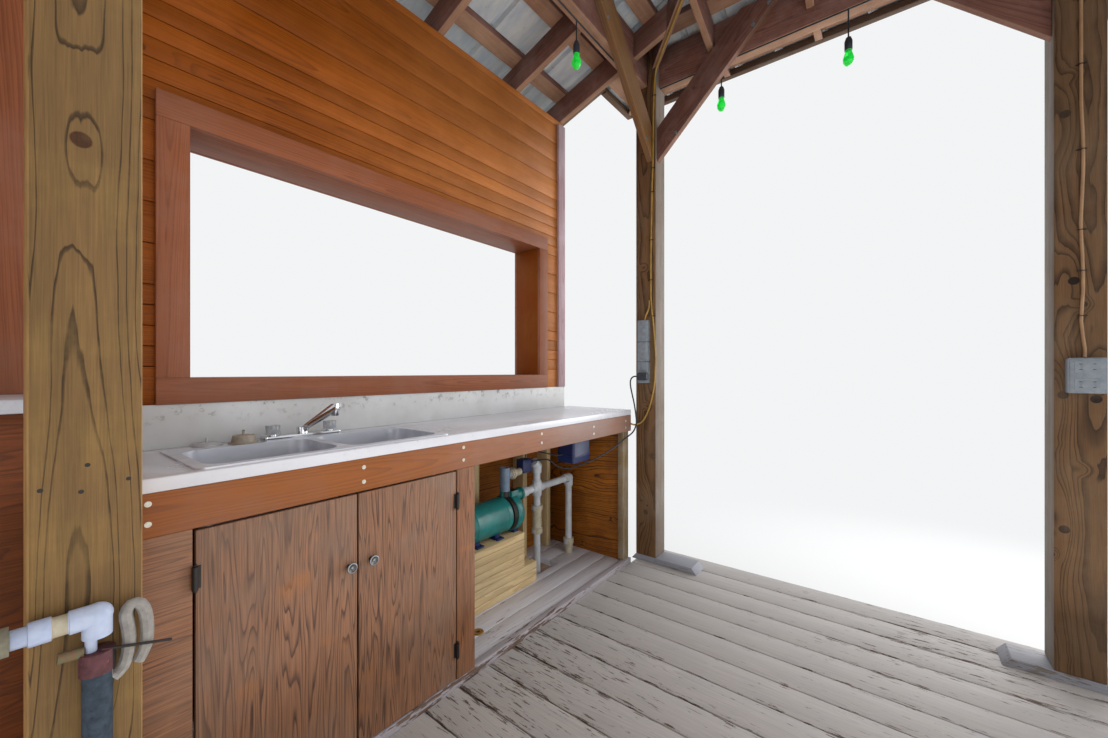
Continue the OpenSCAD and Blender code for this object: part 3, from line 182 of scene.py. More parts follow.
@dataclass(frozen=True)
class Wood:
    """Sawn timber: growth rings round a pith, fibres along the length, knots and weather, with painted light
    or shade on some finishes.

    The rings read the piece's own grain attribute, whose first part runs along the board.
    """

    name: str
    early: str
    late: str
    knot: str = "#4a2c18"
    worn: str = "#8d8478"
    ring: float = 9.0
    line: float = 0.6
    wave: float = 9.0
    wave_length: float = 420.0
    knot_radius: float = 12.0
    knot_cell: float = 170.0
    weather: float = 0.25
    weather_size: float = 260.0
    spread: float = 0.3
    fibre: float = 0.22
    roughness: float = 0.62
    relief: float = 0.5
    gloss: float = 0.3
    # How far the rings wander over a hand's width, in millimetres
    jitter: float = 5.0
    # How fast the rings' waves change across the grain, per metre
    cross: float = 7.0
    # How much of a year's width is pale early wood
    early_share: float = 0.45
    # Knots at set places along the bar, and what they run through
    marks: tuple[Triple, ...] = ()
    mark_radius: float = 13.0
    through: Across = Across.DEPTH
    runs: Across = Across.UP
    # Faces that look this way turn to this colour: weathering on the old posts, a painted highlight on the
    # new post and the roof's timber, painted shade on the golden brace
    side: str = ""
    side_way: Across = Across.DEPTH
    side_share: float = 0.7
    # The wood turns to this colour between two places along the bar, partly fading and partly painted light,
    # as the far end is lit more strongly
    pale: str = ""
    pale_from: float = 0.0
    pale_to: float = 1.0

    def marked(self, tree: Tree, place: Source, stretch: float) -> Source:
        """Builds the distance to the nearest set knot, in knot radii.

        Args:
            tree: The material's tree.
            place: The object's own coordinates.
            stretch: How many times longer along the grain the distance reaches.

        Returns:
            The distance.
        """
        scale = Vector((1, 1, 1)) - Vector(self.through.value)
        scale -= Vector(self.runs.value) * (1 - 1 / stretch)
        flat = add(tree, "VectorMath", (place, scale), operation="MULTIPLY")
        nearest = None
        for mark in self.marks:
            away = add(tree, "VectorMath", (flat, along(*mark) * scale), operation="DISTANCE")
            nearest = add(tree, "Math", (nearest, away), operation="MINIMUM") if nearest else away
        return add(tree, "Math", (nearest, self.mark_radius * MM), operation="DIVIDE")

    def colour(self, tree: Tree) -> tuple[Source, Source]:
        """Builds the pattern.

        Args:
            tree: The material's tree.

        Returns:
            The colour, and the height that the relief follows.
        """
        grain = add(tree, "Attribute", attribute_name="grain").outputs["Vector"]
        tone = add(tree, "Attribute", attribute_name="tone").outputs["Fac"]
        # Knots are cells in the wood, so that one shows where a face cuts it
        cell = add(tree, "TexVoronoi", (grain, 1 / (self.knot_cell * MM)))
        share = self.knot_radius / self.knot_cell
        knot = add(tree, "MapRange", (cell, share, share * 0.75), **SMOOTH)
        push = add(tree, "MapRange", (cell, share * 3.6, 0.0, 0.0, self.knot_radius * 1.5 * MM), **SMOOTH)
        slow = add(tree, "Mapping", (
            grain, None, None, (1 / (self.wave_length * MM), self.cross, self.cross)))
        place = add(tree, "TexCoord").outputs["Object"]
        if self.marks:
            # A set knot shows dark rings of its own, and the grain parts round it
            core = self.marked(tree, place, 1.0)
            own = add(tree, "MapRange", (core, 1.05, 0.85), **SMOOTH)
            knot = add(tree, "Math", (knot, own), operation="MAXIMUM")
            near = self.marked(tree, place, 4.5)
            parted = add(tree, "MapRange", (near, 3.6, 0.4, 0.0, self.mark_radius * 1.25 * MM), **SMOOTH)
            push = add(tree, "Math", (push, parted))
        broad = add(tree, "Mapping", (grain, None, None, (2.2, 26.0, 26.0)))
        streak = add(tree, "TexNoise", (broad, 1.0, 3.0, 0.6))
        push = add(tree, "Math", (streak, self.jitter * MM, push), operation="MULTIPLY_ADD")
        warp = add(tree, "TexNoise", (slow, 1.0, 2.5, 0.45))
        shift = add(tree, "Math", (warp, 2 * self.wave * MM, push), operation="MULTIPLY_ADD")
        flat = add(tree, "VectorMath", (grain, (0.0, 1.0, 1.0)), operation="MULTIPLY")
        radius = add(tree, "VectorMath", (flat,), operation="LENGTH")
        turns = add(tree, "Math", (radius, shift))
        rings = add(tree, "Math", (turns, self.ring * MM), operation="DIVIDE")
        # Rings are unevenly wide, as good and bad years are
        years = add(tree, "TexNoise", (rings, 0.55, 1.0), noise_dimensions="1D")
        uneven = add(tree, "Math", (years, 1.6, rings), operation="MULTIPLY_ADD")
        year = add(tree, "Math", (uneven,), operation="FRACT")
        late = add(tree, "ValToRGB", (year,), stops=(
            (0.0, "#000000"), (self.early_share, "#1c1c1c"), (0.86, "#e0e0e0"), (0.95, "#ffffff"),
            (1.0, "#000000")))
        fine = add(tree, "Mapping", (grain, None, None, (9.0, 420.0, 420.0)))
        fibre = add(tree, "TexNoise", (fine, 1.0, 3.0, 0.6))
        lines = add(tree, "Math", (late, self.line), operation="MULTIPLY")
        wood = add(tree, "Mix", (lines, linear(self.early), linear(self.late)), data_type="RGBA")
        wood = add(tree, "Mix", (knot, wood, linear(self.knot)), data_type="RGBA")
        patch = add(tree, "TexNoise", (place, 1 / (self.weather_size * MM), 5.0, 0.62))
        bare = add(tree, "MapRange", (patch, 0.44, 0.64, 0.0, self.weather))
        wood = add(tree, "Mix", (bare, wood, linear(self.worn)), data_type="RGBA")
        wood = self.weathered_and_painted_light(tree, place, wood, patch)
        # One factor for the piece's own tone, its streaks and its fibres
        piece = add(tree, "Math", (tone, self.spread, 1 - self.spread * 0.5), operation="MULTIPLY_ADD")
        band = add(tree, "Math", (streak, self.fibre * 2.2, 1 - self.fibre * 1.1), operation="MULTIPLY_ADD")
        thread = add(tree, "Math", (fibre, self.fibre * 2, 1 - self.fibre), operation="MULTIPLY_ADD")
        both = add(tree, "Math", (band, thread), operation="MULTIPLY")
        gain = add(tree, "Math", (both, piece), operation="MULTIPLY")
        shade = add(tree, "VectorMath", (wood, gain), operation="SCALE")
        return shade, add(tree, "Math", (fibre, lines), operation="SUBTRACT")

    def weathered_and_painted_light(self, tree: Tree, place: Source, base: Source, patch: Source) -> Source:
        """Adds a colour toward the far end and one on faces that look one way: weathering on some finishes,
        painted light or painted shade on others.

        Args:
            tree: The material's tree.
            place: The object's own coordinates.
            base: The colour so far.
            patch: Cloudy noise that breaks the change up.

        Returns:
            The colour.
        """
        broken = add(tree, "MapRange", (patch, 0.3, 0.6, 0.55))
        # Paler toward the far end: partly fading, partly painted light
        if self.pale:
            axes = add(tree, "SeparateXYZ", (place,))
            share = add(tree, "MapRange", (axes, -self.pale_from * MM, -self.pale_to * MM), **SMOOTH)
            share = add(tree, "Math", (share, broken), operation="MULTIPLY")
            base = add(tree, "Mix", (share, base, linear(self.pale)), data_type="RGBA")
        # Faces that look one way: weathered on the old posts, a painted highlight on the new post and the
        # roof's timber, painted shade on the golden brace
        if self.side:
            normal = add(tree, "NewGeometry").outputs["Normal"]
            facing = add(tree, "VectorMath", (normal, self.side_way.value), operation="DOT_PRODUCT")
            flat = add(tree, "Math", (facing,), operation="ABSOLUTE")
            share = add(tree, "MapRange", (flat, 0.6, 0.9, 0.0, self.side_share))
            share = add(tree, "Math", (share, broken), operation="MULTIPLY")
            base = add(tree, "Mix", (share, base, linear(self.side)), data_type="RGBA")
        return base

    def make(self) -> Material:
        """Makes the material."""
        made, tree = material(self.name)
        shade, height = self.colour(tree)
        surface(tree, height, self.relief, 0.6, {
            "Base Color": shade, "Roughness": self.roughness, "Specular IOR Level": self.gloss})
        return made


@dataclass(frozen=True)
class PaintedWood:
    """Boards under old paint: it covers the grain, thins along the edges and flakes off in patches."""

    name: str
    paint: str
    shade: str
    under: Wood
    cover: float = 0.56
    edge: float = 0.25
    flake: float = 26.0
    # How much shorter a flake's scale is along the grain
    drawn: float = 0.14
    roughness: float = 0.6

    def make(self) -> Material:
        """Makes the material."""
        made, tree = material(self.name)
        bare, height = self.under.colour(tree)
        grain = add(tree, "Attribute", attribute_name="grain").outputs["Vector"]
        spot = add(tree, "Attribute", attribute_name="spot").outputs["Vector"]
        size = 1 / (self.flake * MM)
        drawn = add(tree, "Mapping", (grain, None, None, (size * self.drawn, size, size)))
        flakes = add(tree, "TexNoise", (drawn, 1.0, 9.0, 0.68))
        place = add(tree, "TexCoord").outputs["Object"]
        areas = add(tree, "TexNoise", (place, 1.1, 2.0))
        # Nearness to the long edges, from 0 in the middle to 1
        sides = add(tree, "SeparateXYZ", (spot,))
        reach = add(tree, "Math", (sides.outputs["Y"],), operation="ABSOLUTE")
        rim = add(tree, "MapRange", (reach, 0.72, 1.0, 0.0, self.edge))
        mixed = add(tree, "Math", (areas, 0.34, flakes), operation="MULTIPLY_ADD")
        total = add(tree, "Math", (mixed, rim))
        gone = add(tree, "MapRange", (total, self.cover + 0.12, self.cover + 0.14), **SMOOTH)
        dusty = add(tree, "TexNoise", (drawn, 0.35, 6.0, 0.7))
        coat = add(tree, "Mix", (dusty, linear(self.paint), linear(self.shade)), data_type="RGBA")
        thin = add(tree, "MapRange", (height, -0.3, 0.8, 0.80, 1.06))
        worn = add(tree, "VectorMath", (coat, thin), operation="SCALE")
        colour = add(tree, "Mix", (gone, worn, bare), data_type="RGBA")
        step = add(tree, "Math", (height, 0.35, gone), operation="MULTIPLY_ADD")
        surface(tree, step, 0.6, 0.7, {"Base Color": colour, "Roughness": self.roughness}, dents=True)
        return made


@dataclass(frozen=True)
class Plain:
    """A moulded, rolled or painted finish: one colour, cloudy with use, with specks of dirt."""

    name: str
    colour: str
    cloud: str
    cloud_size: float = 90.0
    stretch: Triple = (1.0, 1.0, 1.0)
    speck: str = "#4a3a2c"
    specks: float = 0.0
    speck_size: float = 14.0
    roughness: float = 0.4
    metallic: float = 0.0
    relief: float = 0.15
    clear: float = 0.0
    # Painted light: an emission that stands in for daylight coming through thin lacquered glass
    glow: float = 0.0
    # Height above which the specks show, where they don't show all over, and how soft its edge is
    specks_above: float = 0.0
    edge: float = 45.0
    # Noise level from which a speck shows
    speck_from: float = 0.62

    def make(self) -> Material:
        """Makes the material."""
        made, tree = material(self.name)
        place = add(tree, "TexCoord").outputs["Object"]
        drawn = add(tree, "Mapping", (place, None, None, self.stretch))
        cloud = add(tree, "TexNoise", (drawn, 1 / (self.cloud_size * MM), 6.0, 0.62))
        soft = add(tree, "MapRange", (cloud, 0.3, 0.7))
        base = add(tree, "Mix", (soft, linear(self.colour), linear(self.cloud)), data_type="RGBA")
        dots = add(tree, "TexNoise", (place, 1 / (self.speck_size * MM), 7.0, 0.7))
        share = add(tree, "MapRange", (dots, self.speck_from, self.speck_from + 0.08, 0.0, self.specks))
        if self.specks_above:
            height = add(tree, "SeparateXYZ", (place,)).outputs["Z"]
            near = add(tree, "MapRange", (height, (self.specks_above - self.edge) * MM,
                                          (self.specks_above + self.edge) * MM))
            share = add(tree, "Math", (share, near), operation="MULTIPLY")
        colour = add(tree, "Mix", (share, base, linear(self.speck)), data_type="RGBA")
        rough = add(tree, "MapRange", (cloud, None, None, self.roughness * 0.75,
                                       min(1.0, self.roughness * 1.25)))
        surface(tree, dots, self.relief, 0.4, {
            "Base Color": colour, "Roughness": rough, "Metallic": self.metallic,
            "Transmission Weight": self.clear, "Emission Color": colour, "Emission Strength": self.glow})
        return made


@dataclass(frozen=True)
class Plywood:
    """Rotary-cut plywood under brown stain: its veneer shows contour-like figures of dark streaks."""

    name: str
    early: str
    late: str
    worn: str
    warm: str
    # How far apart the figures lie across and along the sheet
    across: float = 85.0
    length: float = 640.0
    bands: float = 5.0
    line: float = 0.75
    roughness: float = 0.62

    def make(self) -> Material:
        """Makes the material."""
        made, tree = material(self.name)
        grain = add(tree, "Attribute", attribute_name="grain").outputs["Vector"]
        wide = 1 / (self.across * MM)
        slow = add(tree, "Mapping", (grain, None, None, (1 / (self.length * MM), wide, wide)))
        figure = add(tree, "TexNoise", {"Vector": slow, "Scale": 1.0, "Detail": 1.5, "Roughness": 0.4,
                                        "Distortion": 0.2})
        many = add(tree, "Math", (figure, self.bands * 3), operation="MULTIPLY")
        year = add(tree, "Math", (many,), operation="FRACT")
        late = add(tree, "ValToRGB", (year,), stops=(
            (0.0, "#202020"), (0.35, "#000000"), (0.62, "#606060"), (0.9, "#ffffff"), (1.0, "#202020")))
        fine = add(tree, "Mapping", (grain, None, None, (7.0, 330.0, 330.0)))
        fibre = add(tree, "TexNoise", (fine, 1.0, 4.0, 0.65))
        rough_line = add(tree, "MapRange", (fibre, 0.35, 0.58, 0.5, self.line))
        lines = add(tree, "Math", (late, rough_line), operation="MULTIPLY")
        wood = add(tree, "Mix", (lines, linear(self.early), linear(self.late)), data_type="RGBA")
        place = add(tree, "TexCoord").outputs["Object"]
        # Worn patches first, then fresh warm ones: noise scale, detail, and where and how much it shows
        for size, detail, low, high, most, code in (
                (4.2, 5.0, 0.46, 0.66, 0.55, self.worn), (6.0, 3.0, 0.6, 0.72, 0.6, self.warm)):
            cloud = add(tree, "TexNoise", (place, size, detail))
            share = add(tree, "MapRange", (cloud, low, high, 0.0, most))
            wood = add(tree, "Mix", (share, wood, linear(code)), data_type="RGBA")
        thread = add(tree, "Math", (fibre, 1.7, 0.14), operation="MULTIPLY_ADD")
        shade = add(tree, "VectorMath", (wood, thread), operation="SCALE")
        height = add(tree, "Math", (fibre, lines), operation="SUBTRACT")
        surface(tree, height, 0.5, 0.6, {"Base Color": shade, "Roughness": self.roughness})
        return made


# Rough-sawn timber that has greyed in the shade: flat, with its red-brown still under the dust; a painted
# highlight makes the faces that look up and down lighter tan
ROOF = Wood("rafters_in_the_shade", "#754f42", "#40282a", worn="#8f7068", line=0.55, weather=0.5,
            weather_size=180.0, spread=0.4, fibre=0.34, roughness=0.75, relief=0.8, side="#a98466",
            side_way=Across.UP, side_share=0.7)
# Planed cedar under oil: warm, close-ringed, with a faint sheen, paler toward the open end, partly from
# fading and partly as painted light
CEDAR = Wood("oiled_cedar_siding", "#844208", "#532506", knot="#2a1206", worn="#96501a", ring=6.0,
             gloss=0.12, line=0.7, wave=16.0, wave_length=700.0, knot_radius=7.0, knot_cell=260.0,
             weather=0.55, weather_size=400.0, spread=0.3, fibre=0.26, roughness=0.42, relief=0.4,
             runs=Across.BAR, pale="#b3723c", pale_from=300.0, pale_to=2400.0, mark_radius=11.0)
# Rolled zinc-coated sheet: pale grey, cloudy down its length, with a dull shine
SHEET = Plain("galvanised_roof_sheet", "#d8dad5", "#aeb8c4", cloud_size=60.0, stretch=(1.0, 0.03, 1.0),
              speck="#7d7468", specks=0.4, speck_size=60.0, roughness=0.5, metallic=0.1, relief=0.1)
FINISHES = {
    "roof_frame": ROOF,
    # Sawn posts gone dark brown on the sheltered faces and grey where rain reaches
    "old_post": Wood("old_post_timber", "#664a2f", "#26160a", knot="#20120a", worn="#75604a", ring=8.0,
                     line=0.85, early_share=0.55, wave=16.0, weather=0.4, spread=0.2, fibre=0.34,
                     roughness=0.75, relief=1.0, side="#857d74", side_share=0.75, mark_radius=16.0,
                     through=Across.BAR, marks=(
                         (2417.5, 300, 2882), (2417.5, 295, 1805), (2417.5, 377, 1792),
                         (2417.5, 322, 2240), (2417.5, 298, 1289), (2417.5, -1452, 1010))),
    # One pine post, boxed heart: broad tan rings between dark lines, still with little wear; a painted
    # highlight makes its faces along the bar lighter tan
    "new_post": Wood("treated_pine_post", "#735732", "#33220f", knot="#43260f", worn="#84683a", ring=9.0,
                     line=0.95, early_share=0.8, wave=40.0, wave_length=1100.0, cross=1.5, jitter=7.0,
                     knot_radius=6.0, knot_cell=900.0, weather=0.45, weather_size=120.0, spread=0.0,
                     fibre=0.42, roughness=0.66, relief=0.7,
                     marks=((-10, -1374.5, 2313), (22, -1374.5, 1110)), mark_radius=15.0,
                     side="#c39a62", side_way=Across.BAR, side_share=0.7),
    # Rough framing outdoors: grey-brown and matt
    "framing": Wood("weathered_framing_timber", "#6a5240", "#3f2c20", worn="#857a6c", line=0.5, weather=0.45,
                    spread=0.35, fibre=0.3, roughness=0.72, relief=0.8),
    # A brace of newer timber that is still golden, with painted shade that makes its faces along the bar
    # darker
    "brace": Wood("golden_brace_timber", "#86603a", "#442c1a", worn="#84705c", ring=7.0, line=0.5,
                  weather=0.3, spread=0.1, fibre=0.25, roughness=0.65, relief=0.6, side="#4b3024",
                  side_way=Across.BAR, side_share=0.9),
    "siding": CEDAR,
    "marked_siding": replace(CEDAR, name="knotty_cedar_siding", marks=(
        (1190, -2000, 2860), (1262, -2000, 2862), (1228, -2000, 2742), (1372, -2000, 2310),
        (1360, -2000, 2090), (166, -2000, 2872))),
    # Smooth cedar boards, oiled once and faded since
    "casing": Wood("oiled_cedar_casing", "#8a4f30", "#54291a", worn="#8a5c48", ring=5.0, line=0.5, gloss=0.2,
                   wave=12.0, wave_length=800.0, knot_radius=5.0, knot_cell=420.0, weather=0.6,
                   weather_size=300.0, spread=0.15, fibre=0.2, roughness=0.5, relief=0.3,
                   runs=Across.BAR),
    # The jambs: the casing's cedar, darker as painted shade inside the opening
    "jamb": Wood("oiled_cedar_jamb_painted_shade", "#7c3c0c", "#4c240c", worn="#804a1c", ring=6.0, line=0.35, gloss=0.08,
                 weather=0.5, spread=0.1, fibre=0.18, roughness=0.55, relief=0.3),
    # The end trims: pale purple-grey as painted glare of sunlight on cedar
    "trim": Wood("cedar_trim_painted_glare", "#a68a8e", "#70484e", worn="#b4a4aa", ring=6.0, line=0.4,
                 weather=0.6, spread=0.1, fibre=0.2, roughness=0.6, relief=0.4),
    "apron": Wood("oiled_cedar_apron", "#90521f", "#5c321c", worn="#8a5c44", ring=6.0, line=0.4,
                  wave=12.0, wave_length=700.0, knot_radius=5.0, knot_cell=480.0, weather=0.6,
                  weather_size=400.0, spread=0.1, fibre=0.18, roughness=0.5, relief=0.3,
                  pale="#8a746c", pale_from=500.0, pale_to=2300.0, runs=Across.BAR),
    # Fir veneer under thin brown stain: dark streaks in tall figures
    "door": Plywood("stained_fir_plywood", "#865c40", "#28150f", "#7a604e", "#9a6030", across=44.0,
                    length=760.0, bands=5.0, line=0.95),
    "stile": Plywood("stained_fir_stile", "#875634", "#2e180f", "#7c5c46", "#a2682c", across=24.0,
                     length=900.0, bands=3.0, line=0.9),
    "panel": Plywood("shaded_stained_panel", "#7a3c0c", "#4a2006", "#6d3c18", "#8c4a14", across=60.0),
    # Planed pine: pale when new, grey-brown where it has aged
    "stud": Wood("planed_pine", "#cdb487", "#96764a", worn="#a8987c", ring=8.0, line=0.45, weather=0.4,
                 spread=0.12, fibre=0.16, roughness=0.6, relief=0.3),
    "old_stud": Wood("weathered_pine_stud", "#8f7858", "#54402a", worn="#a09484", ring=7.0, line=0.6,
                     weather=0.6, weather_size=120.0, spread=0.2, fibre=0.28, roughness=0.7, relief=0.6),
    # Rough cedar in the pump bay: orange-brown with near-black late wood, darker in cloudy patches
    "bay": Wood("cedar_bay_boards", "#8c5212", "#140903", worn="#5c300c", ring=15.0, line=0.95,
                early_share=0.68, wave=30.0, wave_length=300.0, jitter=18.0, weather=0.5,
                weather_size=160.0, spread=0.5, fibre=0.4, roughness=0.6, relief=0.8),
    # Thin old paint that has flaked off to bare grey-brown wood: matt
    "deck": PaintedWood("painted_deck_boards", "#c9c1b8", "#a9a8aa",
                        Wood("bare_deck", "#66564a", "#332721", worn="#5c5048", ring=8.0, line=0.5,
                             weather=0.5, fibre=0.35), cover=0.69, edge=0.08, flake=9.0, drawn=0.11,
                        roughness=0.75),
    "kick": PaintedWood("painted_kick_board", "#aca5a8", "#8b8488",
                        Wood("bare_kick", "#604a3c", "#3a291f", worn="#6b5a4d", fibre=0.3), cover=0.68,
                        edge=0.08, flake=16.0),
    "bay_floor": PaintedWood("worn_bay_floor", "#dddce4", "#b8b2b2",
                             Wood("bare_bay", "#6e5a4a", "#43342a", worn="#7c7064", fibre=0.3), cover=0.72,
                             edge=0.06, flake=12.0),
    "shoe": PaintedWood("painted_post_shoe", "#989ba3", "#7d7c82",
                        Wood("bare_shoe", "#6f665c", "#4d443b", worn="#78706a", fibre=0.25), cover=0.7,
                        edge=0.08, flake=12.0),
    "sheet": SHEET,
    "end_sheet": replace(SHEET, name="galvanised_end_sheet", stretch=(0.03, 1.0, 1.0)),
    # What shows in the grooves between the siding boards
    "core": Wood("dark_wall_core", "#2f1a0e", "#20120a"),
    # Pressed laminate: nearly even white, satin, with grime, and mould on the backsplash
    "laminate": Plain("white_laminate", "#dcdde2", "#cbccd2", cloud_size=320.0, speck="#8a7f6c",
                      specks=0.25, speck_size=30.0, roughness=0.26, relief=0.03),
    "splash": Plain("mouldy_backsplash", "#cfd0d1", "#bbbab8", cloud_size=240.0, speck="#4c4a40",
                    specks=0.9, speck_size=30.0, specks_above=1765.0, speck_from=0.56, roughness=0.4,
                    relief=0.05),
    # Metals: drawn lines on the sink, a mirror on the faucet, dull zinc, and old iron and brass
    "steel": Plain("brushed_stainless", "#e6e8ee", "#c9ccd4", cloud_size=60.0, stretch=(0.2, 1.0, 1.0),
                   roughness=0.34, metallic=0.75, relief=0.05),
    "acrylic": Plain("clear_faceted_knob", "#c9ccd0", "#a9adb3", cloud_size=9.0, roughness=0.05, clear=0.6,
                     relief=0.0),
    "chrome": Plain("chrome_plate", "#dcdddf", "#c4c6c9", roughness=0.08, metallic=1.0, relief=0.0),
    "zinc": Plain("galvanised_fastener", "#9fa5ab", "#7d838a", cloud_size=8.0, roughness=0.45, metallic=0.8,
                  relief=0.1),
    "screw": Plain("bright_screw_head", "#d8d4c6", "#b8b2a2", cloud_size=6.0, roughness=0.4, metallic=0.4,
                   relief=0.05),
    "pewter": Plain("antique_pewter_knob", "#6d6964", "#45423f", cloud_size=9.0, roughness=0.35,
                    metallic=0.9, relief=0.2),
    "black": Plain("black_iron", "#242223", "#332d29", cloud_size=18.0, roughness=0.5, metallic=0.5),
    "brass": Plain("worn_brass_disc", "#b08a4c", "#7c5e34", cloud_size=12.0, roughness=0.4, metallic=0.8),
    "rust": Plain("rusted_iron_disc", "#6e3a1e", "#3d2418", cloud_size=8.0, roughness=0.8, relief=0.6),
    # Sprayed enamel and moulded housings: even colour with a soft shine
    "teal": Plain("teal_pump_enamel", "#1b7a75", "#14605c", cloud_size=45.0, speck="#2b2f2d", specks=0.3,
                  roughness=0.35, relief=0.2),
    "navy": Plain("dark_blue_moulding", "#16275c", "#101c42", cloud_size=30.0, roughness=0.38, relief=0.1),
    "plate": Plain("bare_motor_plate", "#9db0b4", "#8799a0", cloud_size=30.0, roughness=0.3, metallic=0.5),
    # Extruded pipe, yellowed or grimy with age, with its fittings
    "pvc": Plain("white_pvc_pipe", "#c6cacd", "#a9adb2", cloud_size=60.0, speck="#5b5850", specks=0.3,
                 speck_size=18.0, roughness=0.35, relief=0.05),
    "new_pvc": Plain("clean_pvc_elbow", "#bfc8da", "#a4b0ca", cloud_size=40.0, speck="#5b5850", specks=0.1,
                     speck_size=9.0, roughness=0.3, relief=0.02),
    "grey_pvc": Plain("grey_pvc_tee", "#75879a", "#5f7084", cloud_size=50.0, roughness=0.4, relief=0.05),
    "cream": Plain("cream_pvc_union", "#bdb49f", "#a0957c", cloud_size=30.0, speck="#5b5244", specks=0.4,
                   speck_size=12.0, roughness=0.45, relief=0.1),
    "primer": Plain("blue_pipe_primer", "#22365f", "#1a2947", cloud_size=10.0, roughness=0.5),
    # Soft foam and cracked sleeves: no shine, and a crumbling face
    "dark_foam": Plain("dark_pipe_foam", "#35434f", "#232d38", cloud_size=14.0, speck="#11161b", specks=0.9,
                       speck_size=7.0, roughness=0.9, relief=1.0),
    "loop_foam": Plain("speckled_pipe_foam", "#99948c", "#7f7a76", cloud_size=16.0, speck="#4c4a46",
                       specks=0.7, speck_size=5.0, roughness=0.9, relief=0.9),
    "sleeve": Plain("cracked_pipe_sleeve", "#8a8470", "#6b6656", cloud_size=26.0, speck="#3c382e",
                    specks=0.8, speck_size=12.0, roughness=0.85, relief=0.9),
    # Cast iron whose red paint has rusted through
    "valve": Plain("rusty_valve", "#5e3034", "#422026", cloud_size=12.0, speck="#a8502c", specks=0.7,
                   speck_size=7.0, roughness=0.7, relief=0.7),
    "lever": Plain("worn_valve_lever", "#7c4a34", "#4f6a48", cloud_size=9.0, speck="#b4602c", specks=0.7,
                   speck_size=5.0, roughness=0.7, relief=0.6),
    # Cast metal under grey paint: plain, a little pitted
    "box": Plain("cast_outlet_box", "#868d93", "#6d767f", cloud_size=30.0, speck="#4a5360", specks=0.2,
                 speck_size=8.0, roughness=0.5, relief=0.3),
    # Extruded cable sheaths and moulded rubber
    "yellow": Plain("yellow_cable_sheath", "#b08a34", "#8c6a24", cloud_size=50.0, speck="#3a2c10",
                    specks=0.4, speck_size=9.0, roughness=0.45, relief=0.1),
    "tan": Plain("tan_cable_sheath", "#a5825e", "#8a6a4c", cloud_size=60.0, speck="#3a2c20",
                 specks=0.3, speck_size=9.0, roughness=0.5, relief=0.1),
    "rubber": Plain("black_rubber_cord", "#20242b", "#2d333c", cloud_size=30.0, roughness=0.5, relief=0.1),
    # Lacquered glass, and what lies in the sink
    # The bulbs glow with painted light, standing in for daylight through their glass
    "bulb": Plain("green_lacquered_bulb", "#22e04a", "#12a836", cloud_size=20.0, roughness=0.06, clear=0.45,
                  glow=0.4, relief=0.0),
    "dome": Plain("beige_strainer", "#a49786", "#857a6c", cloud_size=12.0, speck="#2e2a26", specks=0.4,
                  speck_size=6.0, roughness=0.5),
    "pale_disc": Plain("pale_strainer", "#b9babb", "#a3a4a6", cloud_size=12.0, roughness=0.4),
}


